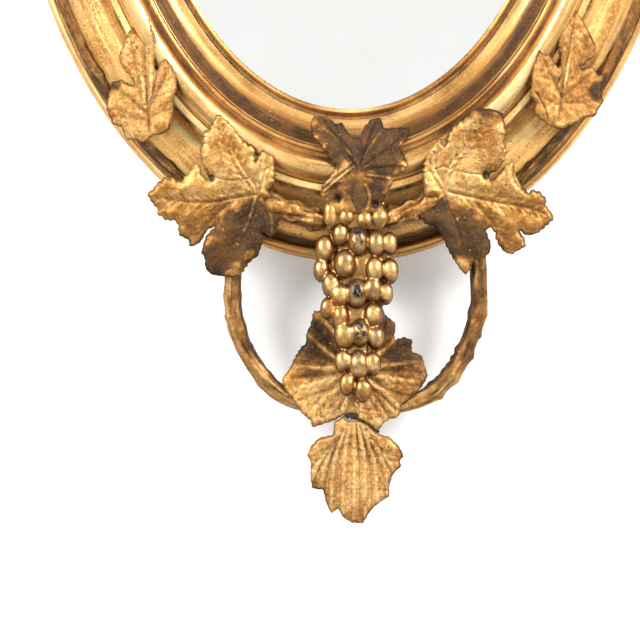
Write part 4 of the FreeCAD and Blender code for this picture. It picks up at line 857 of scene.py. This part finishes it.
def leaf(node, design, place, turn):
    """A leaf in the CAD leaf's outline and bend, with veins, hollows, ripples and a thin edge."""
    place = np.array(place)
    flat, faces, border, level = leaf_sheet(node, design, place)
    cosine, sine = math.cos(math.radians(turn)), math.sin(math.radians(turn))
    local = (flat - place) / REACH @ np.array([[cosine, sine], [-sine, cosine]])
    edge = nearest(flat, [flat[a] for a, b in border]) / MM
    solid = np.column_stack([flat[:, 0], level, flat[:, 1]])

    # Relief: the carved marks, ripples that grow to the edge, and a flat seat at the pin
    height, dirt, ridge = carved_marks(design, local, edge)
    ripple, grain = noise_at(solid, 70.0, 5.0), noise_at(solid, 240.0, 2.0)
    crinkle = 1.0 - 2.0 * np.abs(noise_at(solid, 130.0, 8.0))
    folds = (0.3 + 0.9 * smooth_step(16.0, 2.0, edge)) * ripple + 0.35 * crinkle
    height += design.get("crumpled", 1.0) * folds + 0.22 * grain
    height -= EDGE_FALL * (1.0 - smooth_step(0.0, EDGE_FALL_WIDTH, edge)) ** 2
    near_pin = hump(np.hypot(*(flat - place).T), PIN_REACH)
    height = height * (1 - near_pin) + PIN_HEIGHT * near_pin

    # Dirt and painted shade at the edge, dark and gold patches, and wear on the ridges
    rim_dirt = (1.0 - smooth_step(0.5, 1.9 + ripple, edge)) * (0.85 + 0.6 * noise_at(solid, 45.0, 1.0))
    dirt = np.clip(np.maximum(dirt, rim_dirt), 0.0, 1.0)
    tone = 0.32 * smooth_step(0.0, 0.75, noise_at(solid, 32.0, 11.0) + 0.5 * noise_at(solid, 90.0, 4.0))
    for x, z, size, strength in np.array(design["dark"]) / 100:
        away = np.hypot(local[:, 0] - x, local[:, 1] - z) / size
        tone = np.maximum(tone, strength * (1.0 - smooth_step(0.45, 1.40, away + 0.22 * ripple)))
    for x, z, size, strength in np.array(design.get("gold", ())) / 100:
        away = np.hypot(local[:, 0] - x, local[:, 1] - z) / size + 0.3 * ripple + 0.5 * crinkle - 0.25
        tone *= 1.0 - strength * (1.0 - smooth_step(0.25, 1.25, away))
    tone = np.clip(tone - 0.8 * ridge, 0.0, 1.0)
    wear = np.clip(np.maximum(ridge, 0.5 * smooth_step(0.1, 0.9, ripple)) - tone, 0.0, 1.0)

    # A closed shell, and what stands behind or hangs from the leaf
    front, behind = solid.copy(), solid.copy()
    front[:, 1] -= height * MM
    thick = (EDGE_THICK + INNER_THICK * smooth_step(0.0, THICK_FROM_EDGE, edge)) * MM
    behind[:, 1] = np.maximum(front[:, 1] + LEAST_THICK * MM, solid[:, 1] + thick)
    total = len(front)
    points = np.vstack([front, behind])
    shell = faces + [tuple(k + total for k in reversed(face)) for face in faces]
    shell += [(a, a + total, b + total, b) for a, b in border]
    extra, extra_faces = np.zeros((0, 3)), []
    if node == "centre_leaf":
        extra, extra_faces = drops(place, level.mean() + DROP_SINK, len(points))
    elif node not in WITHOUT_POST:
        extra, extra_faces = post(node, place, points)

    def over_all(values, back, more):
        return np.concatenate([values, np.full(total, back), np.full(len(extra), more)])

    done = piece("carved_" + node, np.vstack([points, extra]), shell + extra_faces,
                 design.get("gilding", LEAF_GILT), node, slot="dark_gilt" if design is CENTRE else "gilt",
                 dirt=over_all(dirt, 0.3, 0.1), tone=over_all(tone, 0.5, 0.1), wear=over_all(wear, 0.0, 0.3))
    if node == "centre_leaf":
        done.data.materials.append(GRAPE_GILT)
        for polygon in done.data.polygons[len(shell):]:
            polygon.material_index = 1


def drops(place, y, start):
    """The small drops under the middle leaf, and the ridge that they grow from."""
    points, faces = [], []
    eggs = [(shares, DROP_SIZE) for shares in DROP_SHARES] + [(RIDGE_SHARES, RIDGE_SIZE)]
    for number, (shares, (wide, tall, deep)) in enumerate(eggs):
        first = start + len(points)
        x, z = place + np.array(shares) * REACH
        for j in range(DROP_ROWS + 1):
            fall = math.pi * (j + 0.02) / (DROP_ROWS + 0.04)
            swell = math.sin(fall) * (1.0 + 0.14 * math.sin(3 * fall + number))
            for turn in 2 * math.pi * np.arange(DROP_STEPS) / DROP_STEPS:
                points.append((x + wide * swell * math.cos(turn), y + deep * swell * math.sin(turn),
                               z + tall * math.cos(fall)))
        faces += grid_faces(DROP_ROWS + 1, DROP_STEPS, DROP_ROWS, DROP_STEPS, first)
        last = first + DROP_ROWS * DROP_STEPS
        faces.append(tuple(range(first, first + DROP_STEPS))[::-1])
        faces.append(tuple(range(last, last + DROP_STEPS)))
    return np.array(points), faces


def post(node, place, points):
    """The short post behind a leaf that stands off the rail."""
    near = np.hypot(points[:, 0] - place[0], points[:, 2] - place[1]) < POST_SEAT
    turns = 2 * math.pi * np.arange(POST_STEPS) / POST_STEPS
    x, z = place[0] + POST_RADIUS * np.cos(turns), place[1] + POST_RADIUS * np.sin(turns)
    rings = [np.column_stack([x, np.full(POST_STEPS, y), z])
             for y in (points[near, 1].mean(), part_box(node)[1][1])]
    start = len(points)
    faces = grid_faces(2, POST_STEPS, 1, POST_STEPS, start)
    faces.append(tuple(range(start + POST_STEPS, start + 2 * POST_STEPS)))
    return np.vstack(rings), faces


for leaf_node, leaf_design, leaf_angle, leaf_share, leaf_turn in LEAVES:
    leaf(leaf_node, leaf_design, rail_xz(leaf_angle, leaf_share), leaf_turn)
for leaf_node, leaf_design, leaf_drop in HANGING:
    leaf(leaf_node, leaf_design, (PENDANT_X, FOOT_Z - leaf_drop * MM), 0.0)


# Stems: a knot is its place along the stem and its swell, a thorn its place, its turn and its length in mm
STEM_STEP, STEM_SIDES = 1.3 * MM, 30
KNOT_REACH, THORN_REACH, THORN_TURN, END_REACH = 4 * MM, 2.4 * MM, 0.55, 4 * MM


def stem(node, route, radius, knots=(), twist=1.5, slot="gilt", painted_shade_toward=None, rough=1.0, shade_all=0.0,
         material=STEM_GILT, name=None, thorns=()):
    """A knotty stem with bark ridges along a smooth line, and painted shade on the side toward a given point.
    """
    line = bent(route, lambda start, end: max(2, int(math.dist(start, end) / STEM_STEP)))
    run = run_along(line)
    line = [Vector(p) for p in line]
    rows, total = len(line), run[-1]
    points, dirt, tone, wear = [], [], [], []
    side = None
    for k, centre in enumerate(line):
        along = (line[min(k + 1, rows - 1)] - line[max(k - 1, 0)]).normalized()
        if side is None:
            side = along.cross(Vector((0, 1, 0))).normalized()
        side = (side - along * side.dot(along)).normalized()
        other = along.cross(side)
        here = run[k]
        place = here / total
        size = radius * min(1.0, 0.55 + 0.45 * min(here, total - here) / END_REACH)
        for knot_place, knot_size in knots:
            size *= 1.0 + knot_size * hump((place - knot_place) * total, KNOT_REACH)
        for turn in 2 * math.pi * np.arange(STEM_SIDES) / STEM_SIDES:
            spin = turn + twist * place
            bark = ring_noise(spin, 2.4, here * 22.0)
            lump = ring_noise(turn, 1.0, here * 55.0 + 4.0)
            fibre = ring_noise(spin, 5.5, here * 34.0)
            band = ring_noise(turn, 0.4, here * 30.0 + 1.0)
            split = max(0.0, 1.0 - 3.2 * abs(ring_noise(spin, 1.7, here * 13.0 + 8.0)))
            split *= smooth_step(-0.1, 0.3, bark * 0.6 + lump)
            reach = size * (1.0 + rough * (0.13 * bark + 0.06 * lump + 0.11 * fibre - 0.16 * split))
            for thorn_place, thorn_turn, thorn_size in thorns:
                reach += (thorn_size * MM * hump((place - thorn_place) * total, THORN_REACH)
                          * hump(turn - thorn_turn, THORN_TURN))
            across = side * math.cos(turn) + other * math.sin(turn)
            points.append(centre + across * reach)
            cleft = max(0.0, -1.6 * bark - 0.25) * 0.75 + max(0.0, -1.4 * fibre - 0.2)
            dirt.append(min(1.0, cleft + 0.9 * split ** 2))
            wear.append(max(0.0, min(1.0, 1.2 * bark + fibre)))
            shade = 0.3 * max(0.0, lump) + shade_all * (1.0 - max(0.0, bark)) + max(0.0, 0.9 * band)
            # Painted shade on the side of the stem that faces the given point
            if painted_shade_toward is not None:
                inward = across.dot((painted_shade_toward - centre).normalized())
                shade += 0.85 * smooth_step(0.15, 0.8, inward + 0.35 * lump)
            tone.append(shade)
    faces = grid_faces(rows, STEM_SIDES, rows - 1, STEM_SIDES)
    uv = grid_uv(run, radius * 2 * math.pi * np.arange(STEM_SIDES + 1) / STEM_SIDES)
    for row, order in ((0, -1), (rows - 1, 1)):
        faces.append(tuple(row * STEM_SIDES + j for j in range(STEM_SIDES))[::order])
        uv += [(run[row], 0.0)] * STEM_SIDES
    piece(name or "carved_" + node, points, faces, material, node, slot=slot, uv=uv, dirt=dirt, tone=tone,
          wear=wear)


# The hanging vines' route in shares of the pendant's half width and height, with levels in millimetres
PENDANT_HALF_WIDTH, PENDANT_HEIGHT = 92.16 * MM, 109 * MM
HANGING_RADIUS = 6.4 * MM
ROUTE_SHARES = ((0.93, -0.45), (0.945, -0.36), (0.985, -0.10), (1.0, 0.12), (1.0, 0.31), (0.955, 0.48),
                (0.87, 0.65), (0.73, 0.82), (0.54, 0.94), (0.24, 1.0))
ROUTE_LEVELS = (27.0, 35.5, 33.6) + 7 * (30.7,)
# The hanging vines get painted shade on the side toward this point
PENDANT_MIDDLE = Vector((PENDANT_X, depth(10), FOOT_Z - 30 * MM))
LEFT_KNOTS = ((0.40, 0.10), (0.52, 0.08), (0.74, 0.12))
LEFT_THORNS = ((0.47, 3.0, 1.2), (0.60, 0.3, 1.0))
RIGHT_KNOTS = ((0.46, 0.2), (0.62, 0.3), (0.72, 0.25), (0.80, 0.2))
RIGHT_THORNS = ((0.54, 0.2, 1.6), (0.66, 3.0, 2.0), (0.69, 3.3, 1.6), (0.76, 2.6, 2.2), (0.80, 0.3, 1.5))

# The climbing vines sway in the channel between rim and plate
CLIMB_ANGLES = np.linspace(24.0, 166.0, 90)
CLIMB_LEVEL, CLIMB_RADIUS = 31.8, 4.2 * MM
CLIMB_SHARE, SWAY_SHARE = 0.105, 0.008
CLIMB_KNOTS = tuple((0.06 + 0.113 * k, 0.22 + 0.08 * (k % 3)) for k in range(8))

for vine_side, vine_word, vine_knots, vine_thorns, vine_shade in (
        (-1, "left", LEFT_KNOTS, LEFT_THORNS, 0.08), (1, "right", RIGHT_KNOTS, RIGHT_THORNS, 0.22)):
    vine_route = []
    for (over, fall), level in zip(ROUTE_SHARES, ROUTE_LEVELS):
        vine_x = PENDANT_X + vine_side * over * PENDANT_HALF_WIDTH
        vine_route.append((vine_x, depth(level), FOOT_Z - fall * PENDANT_HEIGHT))
    stem("pendant_vine_" + vine_word, vine_route, HANGING_RADIUS, knots=vine_knots, painted_shade_toward=PENDANT_MIDDLE,
         shade_all=vine_shade, thorns=vine_thorns)
    vine_route = []
    for vine_angle in CLIMB_ANGLES * vine_side:
        sway = noise.noise(Vector((vine_angle * 0.09, 2.0 * vine_side, 0.0)))
        vine_x, vine_z = rail_xz(vine_angle, CLIMB_SHARE + SWAY_SHARE * sway)
        vine_route.append((vine_x, depth(CLIMB_LEVEL), vine_z))
    stem("climbing_vine_" + vine_word, vine_route, CLIMB_RADIUS, twist=14.0, rough=1.3, knots=CLIMB_KNOTS,
         shade_all=0.5)

# Twigs from the large leaves to the middle one: shares of the way, and falls in shares of the reach
TWIG_SHARES = ((0.06, -0.03), (0.24, -0.14), (0.44, -0.20), (0.61, -0.26), (0.72, -0.29))
TWIG_LEVEL, TWIG_RADIUS = 48.5, 7.0 * MM
TWIG_KNOTS = ((0.22, 0.3), (0.5, 0.25), (0.8, 0.35))
inner_x = rail_xz(*CENTRE_SEAT)[0]
for twig_word, twig_seat in (("left", LEFT_SEAT), ("right", RIGHT_SEAT)):
    outer_x, outer_z = rail_xz(*twig_seat)
    twig_route = [(outer_x + (inner_x - outer_x) * along, depth(TWIG_LEVEL), outer_z + fall * REACH)
                  for along, fall in TWIG_SHARES]
    stem("twig_" + twig_word, twig_route, TWIG_RADIUS, knots=TWIG_KNOTS, twist=1.2, slot="dark_gilt",
         rough=1.9, shade_all=0.38, material=LEAF_GILT)

# The break in the hanging leaf, in pixels of the photograph, is filled with a dark tube: painted shade in the
# crack
BREAK = ((345.5, 417.2), (349.0, 415.5), (354.0, 415.8), (360.0, 418.0), (367.0, 422.5), (374.0, 428.5),
         (379.0, 432.5))
BREAK_LEVEL, CRACK_FILL_RADIUS, CRACK_FILL_KNOTS = 36.6, 2.1 * MM, ((0.05, 0.35), (0.2, 0.3))
stem(None, [photo_place(across, down, BREAK_LEVEL) for across, down in BREAK], CRACK_FILL_RADIUS, knots=CRACK_FILL_KNOTS,
     slot="dark_gilt", material=CRACK_SHADE_FILL, name="crack_shade_fill")

# Grapes: shares across the bunch and down it, size, and how far the gold has worn off the front
GRAPE_SHARES = (
    (-0.19, 0.05, 0.92, 0.1), (0.02, 0.09, 1.15, 1.0), (0.24, 0.10, 1.04, 0.5), (0.40, 0.10, 0.90, 0.0),
    (-0.38, 0.13, 1.06, 0.0), (-0.14, 0.22, 1.17, 0.25), (0.22, 0.25, 1.02, 0.0), (0.41, 0.255, 0.96, 0.0),
    (-0.42, 0.25, 0.90, 0.0), (-0.31, 0.335, 0.97, 0.0), (-0.20, 0.40, 1.02, 0.0), (0.01, 0.385, 1.16, 1.0),
    (0.20, 0.36, 1.02, 0.5), (0.36, 0.385, 0.82, 0.0), (-0.345, 0.47, 0.84, 0.0), (-0.19, 0.515, 0.95, 0.0),
    (0.20, 0.51, 0.97, 0.0), (-0.15, 0.625, 1.10, 0.15), (0.05, 0.61, 1.12, 1.0), (0.24, 0.635, 0.92, 0.6),
    (-0.165, 0.77, 0.90, 0.0), (0.03, 0.79, 1.17, 0.45), (0.20, 0.785, 0.92, 0.0), (-0.11, 0.90, 0.88, 0.0),
    (0.08, 0.935, 0.92, 0.2))
BUNCH_TOP, BUNCH_WIDTH, BUNCH_LENGTH = FOOT_Z + 27 * MM, 62 * MM, 131 * MM
BUNCH_LEVEL, BUNCH_CROWN = 46.1, 7.0
GRAPE_HALF = np.array([6.55, 6.4, 9.4]) * MM
SKIRT_BACK, SKIRT_DROP, SKIRT_DEPTH = 5.4 * MM, 1.0 * MM, 5.8 * MM
GRAPE_CELL = 0.7 * MM


def hollows(mesh, points, normals):
    """How far each point lies below its neighbours, as a slope; above zero in a hollow."""
    ends = np.array([tuple(edge.vertices) for edge in mesh.edges])
    both_ways = ((ends[:, 0], ends[:, 1]), (ends[:, 1], ends[:, 0]))
    near, many = np.zeros_like(points), np.zeros(len(points))
    for a, b in both_ways:
        np.add.at(near, a, points[b])
        np.add.at(many, a, 1.0)
    many = np.maximum(many, 1.0)
    rise = np.einsum("ij,ij->i", near / many[:, None] - points, normals)
    step = np.linalg.norm(points[ends[:, 0]] - points[ends[:, 1]], axis=1).mean()
    for _ in range(3):
        total = np.zeros(len(points))
        for a, b in both_ways:
            np.add.at(total, a, rise[b])
        rise = 0.4 * rise + 0.6 * total / many
    return rise / step


def egg(made, centre, half):
    """An ellipsoid."""
    stretch = Matrix.LocRotScale(Vector(centre), None, Vector(half))
    bmesh.ops.create_icosphere(made, subdivisions=4, radius=1.0, matrix=stretch)


def merged(made):
    """The pieces of a mesh as one smooth skin of small cells."""
    mesh = bpy.data.meshes.new("bunch")
    made.to_mesh(mesh)
    made.free()
    rough = bpy.data.objects.new("bunch", mesh)
    scene.collection.objects.link(rough)
    cells = rough.modifiers.new("cells", "REMESH")
    cells.mode = "VOXEL"
    cells.voxel_size = GRAPE_CELL
    even = rough.modifiers.new("even", "SMOOTH")
    even.factor = 0.5
    even.iterations = 6
    ready = bpy.data.meshes.new_from_object(rough.evaluated_get(bpy.context.evaluated_depsgraph_get()))
    bpy.data.objects.remove(rough)
    return ready


def grapes(node):
    """Plump grapes with the gesso that has run between them, on the CAD bunch's own core, with painted shade
    and painted highlights.
    """
    made = cad_mesh(node)
    places = []
    for x, drop, size, worn in GRAPE_SHARES:
        level = BUNCH_LEVEL + BUNCH_CROWN - BUNCH_CROWN * (2 * x) ** 2
        centre = np.array([PENDANT_X + x * BUNCH_WIDTH, depth(level), BUNCH_TOP - drop * BUNCH_LENGTH])
        half = GRAPE_HALF * size
        places.append((centre, half, worn))
        egg(made, centre, half)
        skirt = 1.45 if abs(x) < 0.22 and drop < 0.6 else 1.02
        egg(made, centre + (0.0, SKIRT_BACK, -SKIRT_DROP), (half[0] * skirt, SKIRT_DEPTH, half[2] * 1.08))
    ready = merged(made)
    points = np.array([tuple(v.co) for v in ready.vertices])
    normals = np.array([tuple(v.normal) for v in ready.vertices])
    faces = [tuple(p.vertices) for p in ready.polygons]
    crease = smooth_step(0.02, 0.22, hollows(ready, points, normals))
    bpy.data.meshes.remove(ready)
    slow, quick = noise_at(points, 60.0, 4.0), noise_at(points, 210.0, 6.0)
    black, proud = np.zeros((2, len(points)))
    for centre, half, worn in places:
        local = (points - centre) / half
        on_it = smooth_step(1.22, 1.05, np.linalg.norm(local, axis=1))
        proud = np.maximum(proud, on_it)
        away = np.hypot(local[:, 0], local[:, 2] - 0.20) + 0.22 * slow + 0.25 * quick
        patch = smooth_step(0.15, 0.55, -local[:, 1]) * smooth_step(0.95, 0.40, away)
        black = np.maximum(black, worn * on_it * patch)
    # Painted shade in the creases, on the gesso between grapes and on the sides turned from the front. Upward
    # faces are coloured darker too.
    facing, upward = -normals[:, 1], normals[:, 2]
    dirt = np.clip(0.75 * crease * (0.75 + 0.5 * slow) + 0.25 * smooth_step(0.5, 1.0, upward), 0.0, 1.0)
    turned = smooth_step(0.80, 0.30, facing + 0.18 * slow)
    lid = smooth_step(0.15, 0.75, upward + 0.25 * slow)
    tone = 0.72 * turned + 0.42 * (1 - proud) * (0.7 + slow) + 0.30 * crease + 0.50 * lid
    # A painted highlight on the front of each grape
    wear = np.clip(smooth_step(0.72, 0.95, facing) * (0.55 + slow), 0.0, 1.0)
    piece("carved_" + node, points, faces, GRAPE_GILT, node, dirt=dirt, tone=np.clip(tone, 0.0, 0.9),
          wear=wear, black=black)


grapes("grape_bunch")

# Slotted screw heads on the back: a head's rings as shares of its radius and rise, and its slot
HEAD_SHARES = ((1.0, 0.0), (0.94, 0.62), (0.7, 0.9), (0.35, 1.0))
HEAD_STEPS = 28
SLOT_WIDTH_SHARE, SLOT_DEPTH_SHARE = 0.2, 0.75
SCREW_ANGLES = np.arange(22.5, 360.0, 45.0)
SUNK_HEAD, SUNK_RISE, SUNK_SHANK = 3.9 * MM, 0.3 * MM, 1.9 * MM
BUTTON_HEAD, BUTTON_RISE, BUTTON_SHANK = 4.0 * MM, 2.0 * MM, 1.75 * MM
PLATE_PLACES = [(x * MM, z * MM) for x in (-8, 8) for z in (-50, -32)]
MOULDING_SCREW_SHARES, BUTTON_SCREW_SHARE = (0.34, 0.58), 0.84

# Levels of a screw's head and tip in millimetres
MOULDING_SCREW_LEVELS, BUTTON_SCREW_LEVELS, PLATE_SCREW_LEVELS = (0.35, 21.0), (-3.6, 10.5), (-2.65, 11.5)


def screws(node, places, head, head_rise, shank, face_level, tip_level):
    """Round heads with a slot across, and their shanks, all facing the wall."""
    made = bmesh.new()
    for number, (x, z) in enumerate(places):
        slot_turn = 0.7 * number + 0.4
        rings = [(shank, depth(tip_level))]
        rings += [(size * head, depth(face_level) + rise * head_rise) for size, rise in HEAD_SHARES]
        loops = []
        for radius, y in rings:
            slotted = len(loops) > 1
            loop = []
            for angle in 2 * math.pi * np.arange(HEAD_STEPS) / HEAD_STEPS:
                across = abs(radius * math.sin(slot_turn - angle))
                cut = SLOT_DEPTH_SHARE * head_rise if slotted and across <= SLOT_WIDTH_SHARE * head else 0.0
                dx, dz = radius * math.cos(angle), radius * math.sin(angle)
                loop.append(made.verts.new((x + dx, y - cut, z + dz)))
            loops.append(loop)
        for low, high in zip(loops, loops[1:]):
            for k in range(HEAD_STEPS):
                after = (k + 1) % HEAD_STEPS
                made.faces.new((low[k], high[k], high[after], low[after]))
        made.faces.new(loops[-1])
        made.faces.new(loops[0][::-1])
    bmesh.ops.recalc_face_normals(made, faces=made.faces)
    points = [tuple(v.co) for v in made.verts]
    made.verts.index_update()
    faces = [tuple(v.index for v in face.verts) for face in made.faces]
    made.free()
    fitted = piece("slotted_" + node, points, faces, STEEL, node, slot="steel")
    fitted.data.polygons.foreach_set("use_smooth", np.zeros(len(faces), dtype=bool))


MOULDING_SCREWS = [rail_xz(angle, share) for share in MOULDING_SCREW_SHARES for angle in SCREW_ANGLES]
screws("moulding_screws", MOULDING_SCREWS, SUNK_HEAD, SUNK_RISE, SUNK_SHANK, *MOULDING_SCREW_LEVELS)
screws("turn_button_screws", [rail_xz(angle, BUTTON_SCREW_SHARE) for angle in SCREW_ANGLES],
       BUTTON_HEAD, BUTTON_RISE, BUTTON_SHANK, *BUTTON_SCREW_LEVELS)
screws("hanging_plate_screws", PLATE_PLACES, SUNK_HEAD, SUNK_RISE, SUNK_SHANK, *PLATE_SCREW_LEVELS)

# Stage: a white wall that doesn't hide the back, a pale floor, and soft lights
WALL_Y = cad_box[1][1] + 0.4 * MM
WALL_HALF, WALL_TOP, FLOOR_Z = 3, 2, -1.6
FLOOR_HALF, FLOOR_FRONT, FLOOR_BACK = 4, -5, 3
WARM_WHITE = (1.0, 0.995, 0.985, 1.0)

# Lamps: name, place, width in metres and power in watts
AIM = (0.0, 0.0, -0.62)
LAMPS = (("left_light", (-1.75, -1.4, 0.1), 1.0, 60), ("right_light", (1.75, -1.4, 0.3), 1.0, 79),
         ("top_light", (0.0, -1.0, 1.4), 1.0, 8), ("back_light", (0.6, 1.8, 0.6), 1.4, 22))


def stage_paint(name, colour, glow_strength, see_through=False):
    """Paint that glows for the camera alone. See-through paint has no back and casts no shadow."""
    s = Shader(name)
    s.set(Base_Color=colour, Roughness=0.9, Specular_IOR_Level=0.1)
    rays = s.node("LightPath").outputs
    paint = s.principled.outputs[0]
    glow = s.node("Emission", {"Color": WARM_WHITE, "Strength": glow_strength}).outputs[0]
    bright = s.node("AddShader", {0: paint, 1: glow}).outputs[0]
    lit = s.node("MixShader", {0: rays["Is Camera Ray"], 1: paint, 2: bright}).outputs[0]
    if see_through:
        hidden = s.maths("MAXIMUM", s.node("NewGeometry").outputs["Backfacing"], rays["Is Shadow Ray"])
        lit = s.node("MixShader", {0: hidden, 1: lit, 2: s.node("BsdfTransparent").outputs[0]}).outputs[0]
    s.put(s.tree.nodes["Material Output"].inputs["Surface"], lit)
    return s.owner


def sheet(name, corners, material, mirrored=True):
    """A flat stage piece, which the glass may or may not show."""
    mesh = bpy.data.meshes.new(name)
    mesh.from_pydata(corners, [], [(0, 1, 2, 3)])
    mesh.materials.append(material)
    made = bpy.data.objects.new(name, mesh)
    made.visible_glossy = mirrored
    scene.collection.objects.link(made)


def lamp(name, place, size, power):
    """A round soft light aimed at the part."""
    data = bpy.data.lights.new(name, "AREA")
    data.shape = "DISK"
    data.size = size
    data.energy = power
    made = bpy.data.objects.new(name, data)
    made.location = place
    made.rotation_euler = (Vector(AIM) - Vector(place)).to_track_quat("-Z", "Y").to_euler()
    scene.collection.objects.link(made)


sheet("wall", [(x, WALL_Y, z) for x, z in ((-WALL_HALF, FLOOR_Z), (WALL_HALF, FLOOR_Z), (WALL_HALF, WALL_TOP),
                                           (-WALL_HALF, WALL_TOP))],
      stage_paint("white_wall", linear(236, 236, 235), 0.18, see_through=True))
sheet("floor", [(x, y, FLOOR_Z) for x, y in ((-FLOOR_HALF, FLOOR_FRONT), (FLOOR_HALF, FLOOR_FRONT),
                                             (FLOOR_HALF, FLOOR_BACK), (-FLOOR_HALF, FLOOR_BACK))],
      stage_paint("pale_floor", linear(206, 205, 203), 0.6), mirrored=False)
for lamp_settings in LAMPS:
    lamp(*lamp_settings)

# The room: white to the camera and straight ahead of the glass, dimmer to the sides and in what it lights
ROOM_LIGHT = 0.20
room = Shader("studio", bpy.data.worlds.new("studio"))
scene.world = room.owner
rays = room.node("LightPath").outputs
toward = room.node("SeparateXYZ", {"Vector": room.node("TexCoord").outputs["Generated"]}).outputs
ahead = room.ramp(toward["Y"], -0.68, -0.86, 0.0, 1.0, "LINEAR")
sideways = room.ramp(room.maths("ABSOLUTE", toward["X"]), 0.25, 0.75, 0.0, 0.45, "LINEAR")
upward = room.ramp(toward["Z"], -0.5, 0.3, 0.03, 0.20, "LINEAR")
ahead = room.maths("MAXIMUM", ahead, room.maths("ADD", sideways, upward))
mirrored = room.maths("MAXIMUM", rays["Is Glossy Ray"], rays["Is Transmission Ray"])
shown = room.maths("MAXIMUM", rays["Is Camera Ray"], room.maths("MULTIPLY", mirrored, ahead))
background = room.tree.nodes["Background"].inputs
room.put(background["Color"], (1.0, 1.0, 1.0, 1.0))
room.put(background["Strength"], room.maths("MAXIMUM", shown, ROOM_LIGHT))

# Camera: square to the wall, a long lens, aimed at the middle of the photograph
FAR, FOCUS_Y, SENSOR = 4.0, -0.035, 36.0
camera = bpy.data.objects.new("camera", bpy.data.cameras.new("camera"))
camera.data.sensor_width = SENSOR
camera.data.lens = SENSOR * FAR / (PHOTO_SIZE * PIXEL)
camera_x, _, camera_z = photo_place(PHOTO_SIZE / 2, PHOTO_SIZE / 2)
camera.location = (camera_x, FOCUS_Y - FAR, camera_z)
camera.rotation_euler = (math.pi / 2, 0.0, 0.0)
scene.collection.objects.link(camera)
scene.camera = camera
